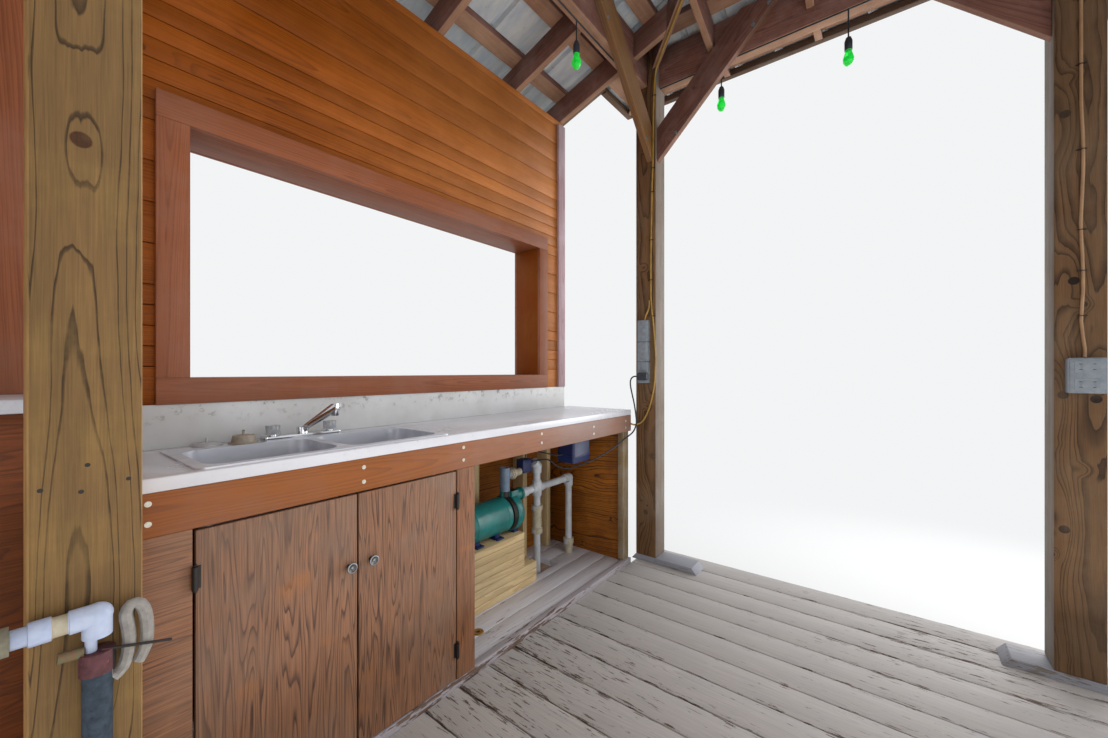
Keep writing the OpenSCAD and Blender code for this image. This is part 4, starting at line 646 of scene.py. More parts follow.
@dataclass
class Pieces:
    """Sawn or moulded pieces of one finish, joined in one mesh that rides on one body."""

    name: str
    finish: str
    bevel: float = 2.0
    segments: int = 2
    pith: tuple[float, float] = (18.0, 75.0)
    tilt: float = 0.03
    seed: int = 7
    # Where the pith lies, in degrees round the board, if that is known
    pith_turn: float | None = None
    # The grain's direction, where it isn't the longest edge
    way: Across | None = None
    # Finishes of some faces, by a test of the face's middle in bar millimetres
    accents: tuple[tuple[str, Test], ...] = ()
    mesh: Form = field(default_factory=bmesh.new)

    def take(self, node: str, keep: Test | None = None) -> Pieces:
        """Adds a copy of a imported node, merged, with flat faces made whole.

        Args:
            node: The node's name.
            keep: Says by its middle, in bar millimetres, whether a separate solid is wanted.

        Returns:
            The same pieces.
        """
        copy = bmesh.new()
        copy.from_mesh(NODES[node].data)
        bmesh.ops.remove_doubles(copy, verts=copy.verts, dist=MERGE)
        bmesh.ops.dissolve_limit(copy, angle_limit=math.radians(0.5), verts=copy.verts, edges=copy.edges)
        if keep:
            gone = [v for island in islands(copy) if not keep(bar_place(middle(island))) for v in island]
            bmesh.ops.delete(copy, geom=gone, context="VERTS")
        return self.join(copy)

    def join(self, copy: Form, outward: bool = True) -> Pieces:
        """Moves a mesh's pieces in, with sharp edges eased.

        Args:
            copy: The mesh, which is used up.
            outward: Whether its faces point outwards already.

        Returns:
            The same pieces.
        """
        if not outward:
            bmesh.ops.recalc_face_normals(copy, faces=copy.faces)
        if self.bevel:
            sharp = [e for e in copy.edges if len(e.link_faces) == 2 and e.calc_face_angle(0.0) > EASED]
            bmesh.ops.bevel(copy, geom=sharp, offset=self.bevel * MM, segments=self.segments, profile=0.5,
                            affect="EDGES", clamp_overlap=True)
        for face in copy.faces:
            face.material_index = 0
        kept = bpy.data.meshes.new("kept")
        copy.to_mesh(kept)
        copy.free()
        self.mesh.from_mesh(kept)
        bpy.data.meshes.remove(kept)
        return self

    def box(self, x: float, y: float, z: float, length: float, depth: float, height: float) -> Pieces:
        """Adds a board by its corner along the bar, at the back and below, and its three sizes.

        Args:
            x: Where its left end is along the bar.
            y: The depth of its back.
            z: The height of its foot.
            length: Its size along the bar.
            depth: Its size toward the deck.
            height: Its size upwards.

        Returns:
            The same pieces.
        """
        copy = bmesh.new()
        v = [copy.verts.new(along(x + i * length, y + j * depth, z + k * height))
             for i in (0, 1) for j in (0, 1) for k in (0, 1)]
        for a, b, c, d in ((0, 1, 3, 2), (4, 6, 7, 5), (0, 4, 5, 1), (2, 3, 7, 6), (0, 2, 6, 4),
                           (1, 5, 7, 3)):
            copy.faces.new((v[a], v[b], v[c], v[d]))
        return self.join(copy, outward=False)

    def prism(self, outline: Profile, x: float, length: float) -> Pieces:
        """Adds a profile of depths and heights that runs along the bar.

        Args:
            outline: The profile's corners.
            x: Where its left end is.
            length: How long it is.

        Returns:
            The same pieces.
        """
        copy = bmesh.new()
        near = [copy.verts.new(along(x, y, z)) for y, z in outline]
        far = [copy.verts.new(along(x + length, y, z)) for y, z in outline]
        copy.faces.new(near)
        copy.faces.new(far[::-1])
        for i in range(len(outline)):
            j = (i + 1) % len(outline)
            copy.faces.new((near[i], far[i], far[j], near[j]))
        return self.join(copy, outward=False)

    def turned(self, outline: Profile, at: Triple, axis: Across, sides: int = 32) -> Pieces:
        """Adds a form turned round an axis from a foot at a place, by its radii and heights.

        Args:
            outline: Its radii and heights.
            at: The foot's place along the bar, depth and height.
            axis: The direction that it stands in.
            sides: How many corners its round has.

        Returns:
            The same pieces.
        """
        copy = bmesh.new()
        ahead = Vector(axis.value)
        side = Vector((0, 0, 1)) if axis is not Across.UP else Vector((1, 0, 0))
        skin(copy, [ring(copy, along(*at) + ahead * height * MM, side, ahead.cross(side), radius * MM, sides)
                    for radius, height in outline])
        bmesh.ops.remove_doubles(copy, verts=copy.verts, dist=MERGE)
        return self.join(copy, outward=False)

    def build(self, slot: str, *nodes: str, body: str = "boathouse") -> Object:
        """Makes the object, with the grain of each piece, and hides what it stands for.

        Args:
            slot: The record's material slot.
            nodes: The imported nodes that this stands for.
            body: The body that it rides on.

        Returns:
            The new object.
        """
        rng = random.Random(self.seed)
        bm = self.mesh
        grain = bm.verts.layers.float_vector.new("grain")
        spot = bm.verts.layers.float_vector.new("spot")
        tone = bm.verts.layers.float.new("tone")
        groups = sorted(islands(bm), key=lambda g: tuple(round(c, 3) for c in middle(g)))
        for group in groups:
            # In order, so that the same one of several equal edges is taken each time
            edges = dict.fromkeys(e for v in group for e in v.link_edges)
            longest = max(edges, key=lambda e: round(e.calc_length(), 5))
            length = (longest.verts[1].co - longest.verts[0].co).normalized()
            if self.way:
                length = Vector(self.way.value)
            if max(length, key=abs) < 0:
                length = -length
            side = length.cross(Vector((0, 0, 1)) if abs(length.z) < 0.9 else Vector((0, 1, 0))).normalized()
            turn = Matrix((length, side, side.cross(length)))
            places = [turn @ v.co for v in group]
            low = Vector(min(p[i] for p in places) for i in range(3))
            high = Vector(max(p[i] for p in places) for i in range(3))
            centre, half = (low + high) / 2, (high - low) / 2
            angle, reach = rng.uniform(0, math.tau), rng.uniform(*self.pith) * MM
            if self.pith_turn is not None:
                angle = math.radians(self.pith_turn)
            lean = (rng.uniform(-self.tilt, self.tilt), rng.uniform(-self.tilt, self.tilt))
            start, value = rng.uniform(0, 40), rng.random()
            for v, p in zip(group, places):
                at = p - centre
                v[grain] = (at.x + start, at.y + math.cos(angle) * reach + lean[0] * at.x,
                            at.z + math.sin(angle) * reach + lean[1] * at.x)
                v[spot] = [at[i] / max(half[i], 1e-6) for i in range(3)]
                v[tone] = value
        for face in bm.faces:
            at = bar_place(face.calc_center_median())
            for i, (_, test) in enumerate(self.accents, 1):
                if test(at):
                    face.material_index = i
        mesh = bpy.data.meshes.new(self.name)
        bm.to_mesh(mesh)
        bm.free()
        return settle(mesh, slot, self.finish, *(a[0] for a in self.accents), nodes=nodes, body=body)


def dressed(node: str, finish: str, slot: str, name: str = "", keep: Test | None = None,
            hides: bool = True, body: str = "boathouse", **look: object) -> Object:
    """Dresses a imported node, or those of its solids that are wanted.

    Args:
        node: The node's name.
        finish: The finish's name.
        slot: The record's material slot.
        name: The piece's name, where it isn't the node's own.
        keep: Says by its middle, in bar millimetres, whether a separate solid is wanted.
        hides: Whether the piece stands for the node.
        body: The body that it rides on.
        look: Further fields of the pieces.

    Returns:
        The new object.
    """
    pieces = Pieces(name or node + "_dressed", finish, **look).take(node, keep)
    return pieces.build(slot, *([node] if hides else []), body=body)


def ring(bm: Form, centre: Vector, side: Vector, other: Vector, radius: float, sides: int) -> Corners:
    """Adds corners round a circle, by its middle, its two directions and its radius in metres.

    Args:
        bm: The mesh.
        centre: The circle's middle.
        side: Where its first corner lies from there.
        other: The direction square to that.
        radius: Its radius in metres.
        sides: How many corners it has.

    Returns:
        The corners.
    """
    turns = [math.tau * k / sides for k in range(sides)]
    return [bm.verts.new(centre + radius * (side * math.cos(a) + other * math.sin(a))) for a in turns]


def skin(bm: Form, rings: list[Corners]) -> None:
    """Closes a round form over its rings, with flat ends where they have a width.

    Args:
        bm: The mesh.
        rings: The corners of each ring, in order.
    """
    sides = len(rings[0])
    for a, b in zip(rings, rings[1:]):
        for k in range(sides):
            bm.faces.new((a[k], a[(k + 1) % sides], b[(k + 1) % sides], b[k]))
    if (rings[-1][0].co - rings[-1][1].co).length > MERGE:
        bm.faces.new(rings[-1])
        bm.faces.new(rings[0][::-1])


def islands(bm: Form) -> list[Corners]:
    """Splits a mesh into its separate solids.

    Args:
        bm: The mesh.

    Returns:
        The corners of each solid.
    """
    seen: set[bmesh.types.BMVert] = set()
    found = []
    for start in bm.verts:
        if start in seen:
            continue
        group, queue = [], [start]
        seen.add(start)
        while queue:
            vert = queue.pop()
            group.append(vert)
            for edge in vert.link_edges:
                other = edge.other_vert(vert)
                if other not in seen:
                    seen.add(other)
                    queue.append(other)
        found.append(group)
    return found


def middle(group: Corners) -> Vector:
    """The middle of a solid's box."""
    return Vector((min(v.co[i] for v in group) + max(v.co[i] for v in group)) / 2 for i in range(3))


def settle(mesh: bpy.types.Mesh, slot: str, *finishes: str, nodes: tuple[str, ...] = (),
           body: str = "boathouse") -> Object:
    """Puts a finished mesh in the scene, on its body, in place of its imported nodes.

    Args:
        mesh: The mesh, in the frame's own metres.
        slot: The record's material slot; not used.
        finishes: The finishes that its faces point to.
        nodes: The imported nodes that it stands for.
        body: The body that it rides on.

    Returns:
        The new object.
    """
    if not mesh.materials:
        for each in finishes:
            mesh.materials.append(MATERIALS[each])
    mesh.shade_smooth()
    mesh.set_sharp_from_angle(angle=SHARP)
    made = bpy.data.objects.new(mesh.name, mesh)
    bpy.context.scene.collection.objects.link(made)
    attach(made, body)
    if nodes:
        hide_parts(*nodes)
    LOG.info("%s: %d faces", made.name, len(mesh.polygons))
    return made


@dataclass
class BarWall:
    """The bar's wall: boards on both faces and at the ends, over a dark core, with cased opening."""

    end: float = 2282.0
    face: float = -2000.0
    back: float = -2178.0
    open_x: float = 278.0
    open_l: float = 1735.0
    sill: float = 1875.0
    head: float = 2675.0
    liner: float = 20.0
    casing: float = 82.0
    casing_t: float = 19.0
    board_t: float = 14.0
    # The roof's fall over the wall
    slope: float = 0.3333
    joint: float = 1.5
    # A joint between boards, and how far apart the joints are
    first: float = 1784.5
    pitch: float = 125.5
    # Boards with a second groove along their middle, counted from the first joint
    grooved: tuple[int, ...] = (1, 2, 7, 8, 9)
    # Pieces that are narrower or shorter than these aren't boarded
    least_width: float = 12.0
    least_length: float = 30.0
    # Trims beyond this place stand at the wall's end
    last_trims: float = 1000.0

    def hole(self) -> tuple[float, float, float, float]:
        """The opening in the boards: its left and right ends, its foot and its head."""
        return (self.open_x - self.liner, self.open_x + self.open_l + self.liner,
                self.sill - self.liner, self.head + self.liner)

    def rows(self, low: float, high: float) -> list[tuple[float, float]]:
        """Lowest and highest edges of the boards between two heights.

        Args:
            low: The lower height.
            high: The upper height.

        Returns:
            The two edges of each board.
        """
        found = []
        count = math.floor((low - self.first) / self.pitch)
        while self.first + count * self.pitch < high:
            z = self.first + count * self.pitch
            cuts = [z, z + self.pitch / 2, z + self.pitch] if count in self.grooved else [z, z + self.pitch]
            found += [(max(a, low), min(b, high)) for a, b in zip(cuts, cuts[1:])]
            count += 1
        return [(a, b) for a, b in found if b - a > self.least_width]

    def cover(self, wood: Pieces, y: float, x0: float, x1: float, low: float, high: float) -> None:
        """Boards one face between two places, cut round the opening.

        Args:
            wood: The pieces that get the boards.
            y: The depth of the boards' backs.
            x0: Where the boards start along the bar.
            x1: Where they end.
            low: Where they start above the ground.
            high: Where they end.
        """
        left, right, foot, head = self.hole()
        for a, b in self.rows(low, high):
            spans = [(x0, x1, a, b)]
            if b > foot and a < head and x0 < right and x1 > left:
                spans = [(x0, left, a, b), (right, x1, a, b), (left, right, a, min(b, foot)),
                         (left, right, max(a, head), b)]
            for u, v, c, d in spans:
                if d - c > self.least_width and v - u > self.least_length:
                    wood.box(u, y, c + self.joint / 2, v - u, self.board_t, d - c - self.joint)

    def build(self) -> None:
        """Builds the wall, its lining, casing and trims."""
        floor, top_face = (corner.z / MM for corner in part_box("left_wall"))
        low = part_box("wall_beside_window")[0].z / MM
        top_back = top_face - (self.face - self.back) * self.slope
        t, end = self.board_t, self.end
        left, right, foot, head = self.hole()
        y0, y1 = self.back + t, self.face - t
        z0, z1 = top_back + t * self.slope, top_face - t * self.slope
        core = Pieces("wall_core", "core", bevel=0)
        for x, length, base, tops in (
                (t - end, end - t, floor, (z1, z0)), (0, left, low, (z1, z0)),
                (right, end - t - right, low, (z1, z0)), (left, right - left, head, (z1, z0)),
                (left, right - left, low, (foot, foot))):
            core.prism([(y0, base), (y1, base), (y1, tops[0]), (y0, tops[1])], x, length)
        core.build("cedar", "left_wall", "wall_beside_window", "wall_over_window", "wall_under_window")
        front = Pieces("bar_siding", "marked_siding", bevel=3.0, seed=11)
        self.cover(front, self.face - t, 1, end, low, top_face)
        self.cover(front, self.face - t, -end, -1, floor, top_face)
        front.build("cedar")
        back = Pieces("outer_siding", "siding", bevel=3.0, seed=12)
        self.cover(back, self.back, -end, -1, floor, top_back)
        self.cover(back, self.back, 1, end, low, top_back)
        back.build("cedar")
        ends = Pieces("wall_end_boards", "siding", bevel=2.5, seed=13)
        half = (y1 - y0) / 2
        for x, base in ((end - t, low), (-end, floor)):
            for y in (y0, y0 + half):
                z = top_back + (y - self.back) * self.slope - 2
                ends.prism([(y + 1, base), (y + half - 1, base), (y + half - 1, z + half * self.slope),
                            (y + 1, z)], x, t)
        ends.build("cedar")
        self.lining()
        self.cased()

    def lining(self) -> None:
        """The boards inside the opening: the head and sill run through, the jambs stand between."""
        depth = self.face - self.back
        left, right, foot, _ = self.hole()
        wood = Pieces("pass_through_lining", "casing", bevel=1.5, seed=21)
        for z in (foot, self.head):
            wood.box(left, self.back, z, right - left, depth, self.liner)
        wood.build("cedar", "window_lining")
        jambs = Pieces("pass_through_jambs", "jamb", bevel=1.5, seed=22)
        for x in (left, self.open_x + self.open_l):
            jambs.box(x, self.back, self.sill, self.liner, depth, self.head - self.sill)
        jambs.build("cedar")

    def cased(self) -> None:
        """The casing on both faces: its head and sill boards lie over the side boards."""
        wood = Pieces("pass_through_casing", "casing", bevel=2.0, seed=23)
        wide = self.open_l + 2 * self.casing
        for y in (self.face, self.back - self.casing_t):
            for z in (self.sill - self.casing, self.head):
                wood.box(self.open_x - self.casing, y, z, wide, self.casing_t, self.casing)
            for x in (self.open_x - self.casing, self.open_x + self.open_l):
                wood.box(x, y, self.sill, self.casing, self.casing_t, self.head - self.sill)
        wood.build("cedar", "window_casing")
        dressed("wall_trims", "trim", "cedar", name="end_trims", keep=lambda p: p.x > self.last_trims,
                bevel=2.5, seed=24)
        dressed("wall_trims", "casing", "cedar", name="middle_trims", hides=False,
                keep=lambda p: p.x <= self.last_trims, bevel=2.5, seed=25)


@dataclass
class Frame:
    """Piles, deck, posts, beams, braces and the roof's timber."""

    # The new post's heart lies behind its face toward the deck
    new_pith: float = 0.0
    # The golden brace stands between these places, in front of this depth
    golden: tuple[float, float] = (1000.0, 2400.0)
    golden_depth: float = -1300.0

    def is_golden(self, at: Vector) -> bool:
        """Whether a brace is the one of newer, golden timber beside the bar."""
        return self.golden[0] < at.x < self.golden[1] and at.y < self.golden_depth

    def build(self) -> None:
        """Dresses each packed timber node."""
        aged = {
            "piles": ("framing", 0.0), "cap_beams": ("framing", 3.0), "floor_joists": ("framing", 3.0),
            "rim_boards": ("framing", 3.0), "posts": ("old_post", 5.0), "end_beams": ("roof_frame", 4.0),
            "side_beams": ("roof_frame", 4.0), "long_rafters": ("roof_frame", 2.5),
            "end_rafters": ("roof_frame", 2.5), "hip_rafters": ("roof_frame", 2.5),
            "ridge_board": ("roof_frame", 2.5), "bar_rafters": ("roof_frame", 2.5),
            "battens": ("roof_frame", 2.0), "eave_boards": ("framing", 2.5),
        }
        for seed, (node, (finish, bevel)) in enumerate(aged.items(), 31):
            dressed(node, finish, "aged_timber", bevel=bevel, seed=seed)
        for seed, (node, finish, slot, bevel) in enumerate((
                ("deck_boards", "deck", "grey_deck", 3.0), ("kick_board", "kick", "grey_deck", 4.0),
                ("bar_floor", "bay_floor", "white_paint", 2.0),
                ("post_shoes", "shoe", "white_paint", 2.5)), 51):
            dressed(node, finish, slot, bevel=bevel, seed=seed)
        dressed("new_post", "new_post", "new_timber", bevel=7.0, segments=3, seed=55, pith=(9.0, 12.0),
                pith_turn=self.new_pith, tilt=0.004)
        dressed("knee_braces", "brace", "aged_timber", name="golden_brace", keep=self.is_golden,
                hides=False, bevel=2.5, seed=56)
        dressed("knee_braces", "roof_frame", "aged_timber", keep=lambda p: not self.is_golden(p),
                bevel=2.5, seed=57)


# Radii and heights of a hinge's barrel, with a bead at each end
BARREL = [(0.0, 0.0), (3.5, 0.6), (4.6, 2.6), (3.6, 4.8), (6.4, 5.4), (6.4, 60.6), (3.6, 61.2), (4.6, 63.4),
          (3.5, 65.4), (0.0, 66.0)]
# Radii and heights of a cabinet knob: its foot, its neck, and a rim round a recess
KNOB = [(0.0, 0.2), (7.0, 0.2), (6.0, 8.0), (9.0, 13.0), (14.5, 17.0), (16.0, 19.5), (15.0, 22.0),
        (12.0, 23.0), (10.0, 21.0), (5.0, 19.5), (3.5, 20.5), (0.0, 21.0)]


@dataclass
class Bar:
    """The counter, the cabinet under it, the pump bay and the left bar."""

    # A place between the cabinet's two stiles, and one between the bay's studs and the end stud
    stile_mid: float = 400.0
    stud_face: float = 2270.0
    # The stand's planks, of which the lowest three are longer
    plank_t: float = 38.0
    plank_l: tuple[float, ...] = (535.0,) * 3 + (434.0,) * 5
    stand: Triple = (1240.0, -1997.0, 716.0)
    plank_width: float = 190.0
    # How much of a plank is taken off for its joints
    plank_joint: float = 1.2
    # The faucet's two clear knobs: its middle, how far away they are and how wide, and their foot
    tap: tuple[float, float, float, float] = (575.0, 95.0, 24.0, 1682.0)
    # Where the doors' hinges turn, how high they sit, and where the knobs are, left and right
    hinges: tuple[float, float] = (184.0, 967.0)
    hinge_heights: tuple[float, float] = (813.0, 1375.0)
    knobs: tuple[float, float] = (555.0, 625.0)
    knob_height: float = 1305.0
    door_face: float = -1519.5
    # The pump: the black ring round it, its middle's depth and height, and its plate
    black_ring: tuple[float, float] = (1592.0, 1622.0)
    pump_y: float = -1902.0
    motor_z: float = 1121.0
    feet: float = 1046.0
    # How far round the motor a facet of its plate reaches, and where the first starts, in degrees
    plate_turn: tuple[float, float] = (9.0, 24.0)
    plate_x: float = 1372.0
    plate_l: float = 70.0
    plate_radius: float = 76.0
    # The cream unions of the water pipes: two places and two heights each
    unions: tuple[tuple[float, ...], ...] = ((1860.0, 1925.0, 930.0, 1105.0), (2180.0, 2245.0, 700.0, 812.0))
    tee_end: float = 1740.0

    def build(self) -> None:
        """Dresses the bar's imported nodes."""
        for seed, (node, finish, slot, bevel) in enumerate((
                ("apron", "apron", "cedar", 2.5), ("lower_back_wall", "bay", "cedar", 1.0),
                ("ledge_panel", "panel", "plywood", 1.5), ("counter", "laminate", "white_laminate", 3.0),
                ("backsplash", "splash", "white_laminate", 1.0),
                ("bar_ledge", "laminate", "white_laminate", 3.0)), 61):
            dressed(node, finish, slot, bevel=bevel, seed=seed)
        dressed("bar_end_walls", "bay", "cedar", bevel=1.5, seed=74, way=Across.DEPTH, tilt=0.1)
        x, y, z = self.stand
        planks = Pieces("stand_planks", "stud", bevel=3.0, seed=75)
        for i, long in enumerate(self.plank_l):
            planks.box(x, y, z + i * self.plank_t + self.plank_joint / 2, long, self.plank_width,
                       self.plank_t - self.plank_joint)
        planks.build("pine", "pump_stand")
        centre, away, wide, foot = self.tap
        dressed("faucet", "chrome", "chrome", bevel=1.5, accents=(
            ("acrylic", lambda p: abs(abs(p.x - centre) - away) < wide and p.z > foot),))
        dressed("cabinet_stiles", "stile", "plywood", name="left_stile", hides=False,
                keep=lambda p: p.x < self.stile_mid, bevel=1.5, seed=76, way=Across.BAR)
        dressed("cabinet_stiles", "stile", "plywood", name="right_stile",
                keep=lambda p: p.x >= self.stile_mid, bevel=1.5, seed=77)
        dressed("bar_studs", "stud", "pine", name="bay_studs", hides=False,
                keep=lambda p: p.x < self.stud_face, bevel=2.0, seed=78)
        dressed("bar_studs", "old_stud", "pine", name="end_stud", keep=lambda p: p.x >= self.stud_face,
                bevel=3.0, seed=79)
        for i, side in enumerate(("left_door", "right_door")):
            dressed(side, "door", "plywood", body=side, bevel=1.5, seed=81 + i)
            self.hardware(i, side)
        self.pump()
        self.pipes()

    def hardware(self, i: int, door: str) -> None:
        """A door's black hinge barrels, and its pewter knob with a bright ring round a recess.

        Args:
            i: 0 for the left door and 1 for the right.
            door: The door's name.
        """
        side, axis = door.removesuffix("_door"), self.hinges[i]
        inward = 1 - 2 * i
        frame_side = Pieces(side + "_hinge_barrels", "black", bevel=0)
        door_side = Pieces(side + "_hinge_leaves", "black", bevel=0.5, segments=1)
        for z in self.hinge_heights:
            frame_side.turned(BARREL, (axis, self.door_face + 7.0, z), Across.UP, sides=20)
            door_side.box(axis + inward * 9.0 - 4.0, self.door_face + 0.1, z + 6.0, 8.0, 1.6, 54.0)
        frame_side.build("black_iron", *(["hinge_pins"] if i == 0 else []))
        door_side.build("black_iron", body=door)
        x, z = self.knobs[i], self.knob_height
        knob = Pieces(side + "_knob", "pewter", bevel=0, accents=(
            ("zinc", lambda p: 11.0 < math.hypot(p.x - x, p.z - z) < 15.0
             or math.hypot(p.x - x, p.z - z) < 4.0),))
        knob.turned(KNOB, (x, self.door_face, z), Across.DEPTH)
        knob.build("black_iron", side + "_hardware", body=door)

    def pump(self) -> None:
        """The pump: teal motor and head, a black ring between them, dark blue feet and a bare plate."""
        low, high = self.black_ring
        dressed("pump", "teal", "pump_paint", bevel=1.5, accents=(
            ("black", lambda p: low < p.x < high and p.z > self.feet),
            ("black", lambda p: p.x < 1312.0),
            ("navy", lambda p: p.z < self.feet and abs(p.y - self.pump_y) < 60 and p.x < low),
            ("navy", lambda p: p.z < 1036.0)))
        plate = Pieces("motor_plate", "plate", bevel=0)
        mesh = plate.mesh
        rows, columns = 5, 6
        step, start = self.plate_turn
        for i in range(columns):
            for j in range(rows):
                turn = [math.radians(start + step * (j + k)) for k in (0, 1)]
                x = [self.plate_x + self.plate_l * (i + k) / columns for k in (0, 1)]
                mesh.faces.new([mesh.verts.new(along(
                    x[a], self.pump_y + self.plate_radius * math.cos(turn[b]),
                    self.motor_z + self.plate_radius * math.sin(turn[b]))) for a, b in (
                        (0, 0), (1, 0), (1, 1), (0, 1))])
        bmesh.ops.remove_doubles(mesh, verts=mesh.verts, dist=MERGE)
        bmesh.ops.recalc_face_normals(mesh, faces=mesh.faces)
        bmesh.ops.solidify(mesh, geom=mesh.faces[:], thickness=1.2 * MM)
        bmesh.ops.recalc_face_normals(mesh, faces=mesh.faces)
        plate.build("pump_paint")

    def pipes(self) -> None:
        """The pump's pipes: a grey tee with one open socket, and white pipes with cream unions."""
        dressed("pump_pipes", "grey_pvc", "white_pvc", name="open_tee", hides=False, bevel=1.2,
                keep=lambda p: p.x < self.tee_end, accents=(("cream", lambda p: p.x > 1650.0),))
        dressed("pump_pipes", "pvc", "white_pvc", name="water_pipes", bevel=1.2,
                keep=lambda p: p.x >= self.tee_end, accents=(
                    ("cream", lambda p: any(a < p.x < b and c < p.z < d for a, b, c, d in self.unions)),
                    ("primer", lambda p: abs(p.z - 1180.0) < 6.0 and p.x > 2150.0)))


@dataclass
class Fittings:
    """The cord and plug, outlet boxes, cables, switch, the left riser and the string lights."""

    cord_d: float = 9.0
    steps: int = 4
    sides: int = 14
    # The outlet boxes' front faces, toward the bar
    cover_x: float = 2371.6
    # The boxes: depth of the middle, width, foot and head
    boxes: tuple[tuple[float, ...], ...] = (
        (-1454.5, 67.0, 1823.0, 1956.0), (-1454.5, 67.0, 1957.0, 2079.0), (-1454.5, 67.0, 2080.0, 2214.0),
        (346.0, 94.0, 1814.0, 1946.0))
    # Cables behind this depth belong to the corner post, and those beyond this place aren't the switch's
    corner_depth: float = -900.0
    switch_end: float = 1950.0
    # A place between the sink's two strainers
    strainer_mid: float = 353.0
    # Height under which the string's bulbs start, and how much higher those past a place start
    bulb_top: float = 3507.0
    end_bulbs: float = 2430.0
    end_drop: float = 30.0
    # Radii and heights of the round inserts in the boards
    insert: Profile = field(default_factory=lambda: [
        (0.0, 1.0), (9.0, 1.0), (9.5, 3.0), (24.0, 3.0), (27.0, 0.4), (27.0, 0.0)])
    insert_hole: float = 9.2
    brass: Triple = (1241.0, -1703.0, 716.0)
    rusty: Triple = (677.0, -1560.0, 700.0)
    # The cord from the switch's gland to its plug, chosen as in the imported model
    route: tuple[Triple, ...] = (
        (1826, -1884, 1371), (1843, -1882, 1371), (1865, -1871, 1373), (1898, -1833, 1377),
        (1916, -1809, 1363), (1945, -1791, 1336), (1984, -1742, 1322), (2054, -1650, 1357),
        (2126, -1570, 1410), (2200, -1536, 1449), (2268, -1526, 1477), (2314, -1519, 1494),
        (2350, -1511, 1511), (2371, -1503, 1536), (2380, -1497, 1575), (2382, -1503, 1630),
        (2382, -1513, 1690), (2380, -1525, 1745), (2375, -1533, 1790), (2368, -1533, 1820),
        (2362, -1527, 1843), (2358, -1515, 1857), (2356, -1500, 1864), (2356, -1484, 1865),
    )

    def centreline(self) -> list[Vector]:
        """The route drawn as one smooth curve through its points."""
        points = [Vector(p) for p in self.route]
        last = len(points) - 1
        line = []
        for i in range(last):
            a, b, c, d = (points[max(i - 1, 0)], points[i], points[i + 1], points[min(i + 2, last)])
            for j in range(self.steps):
                k = j / self.steps
                line.append(0.5 * (2 * b + (c - a) * k + (2 * a - 5 * b + 4 * c - d) * k * k
                                   + (3 * b - 3 * c + d - a) * k ** 3))
        return [along(*p) for p in [*line, points[last]]]

    def cord(self) -> None:
        """The pump's black rubber cord, from its switch to its plug in the outlet box."""
        line = self.centreline()
        bm = bmesh.new()
        rings = []
        side = Vector((0, 0, 1))
        for i, at in enumerate(line):
            ahead = (line[min(i + 1, len(line) - 1)] - line[max(i - 1, 0)]).normalized()
            side = (side - ahead * side.dot(ahead)).normalized()
            rings.append(ring(bm, at, side, ahead.cross(side), self.cord_d / 2 * MM, self.sides))
        skin(bm, rings)
        bmesh.ops.recalc_face_normals(bm, faces=bm.faces)
        mesh = bpy.data.meshes.new("pump_cord_tube")
        bm.to_mesh(mesh)
        bm.free()
        tube = settle(mesh, "cord_rubber", "rubber", nodes=("pump_cord",))
        plug = dressed("cord_plug", "rubber", "cord_rubber", bevel=2.0)

    def build(self) -> None:
        """Dresses every fitting but the cord."""
        self.outlets()
        self.riser()
        dressed("sink_strainers", "dome", "stainless", name="strainer_dome", hides=False, bevel=1.5,
                keep=lambda p: p.x > self.strainer_mid, accents=(("black", lambda p: p.z > 1700.0),))
        dressed("sink_strainers", "pale_disc", "stainless", name="strainer_disc", bevel=1.5,
                keep=lambda p: p.x <= self.strainer_mid)
        # The bulbs are green and hang in black sockets
        dressed("string_lights", "rubber", "bulb_glass", bevel=0, accents=(("bulb", lambda p: (
            p.z < self.bulb_top - (self.end_drop if p.x > self.end_bulbs else 0.0))),))
        x, y, _ = self.brass
        Pieces("brass_insert", "brass", bevel=0, accents=(
            ("black", lambda p: math.hypot(p.x - x, p.y - y) < self.insert_hole),)).turned(
            self.insert, self.brass, Across.UP).build("black_iron")
        Pieces("rusty_insert", "rust", bevel=0).turned(
            self.insert, self.rusty, Across.UP).build("black_iron")

    def outlets(self) -> None:
        """The outlet boxes with embossed covers, their cables and the switch."""
        dressed("outlet_boxes", "box", "box_paint", bevel=2.5)
        covers = Pieces("outlet_covers", "box", bevel=0.8, segments=1)
        slots = Pieces("outlet_slots", "rubber", bevel=0)
        for y, width, low, high in self.boxes:
            for z in ((low * 3 + high) / 4, (low + high * 3) / 4):
                covers.box(self.cover_x, y - width * 0.34, z - 22, 1.4, width * 0.68, 44)
                for i in (-1, 1):
                    slots.box(self.cover_x - 0.3, y - width * 0.22, z + i * 10 - 1.5, 1.5, width * 0.44, 2.4)
        covers.build("box_paint")
        slots.build("box_paint")
        for name, finish, keep in (
                ("yellow_cables", "yellow", lambda p: p.y < self.corner_depth and p.x > self.switch_end
                 and p.z > 1500),
                ("tan_cable", "tan", lambda p: p.y > self.corner_depth),
                ("switch_lead", "rubber", lambda p: p.x < self.switch_end and p.y < self.corner_depth)):
            dressed("outlet_cables", finish, "cable_sheath", name=name, keep=keep,
                    hides=name == "switch_lead", bevel=0)
        dressed("switch_boxes", "navy", "switch_paint", bevel=3.0)

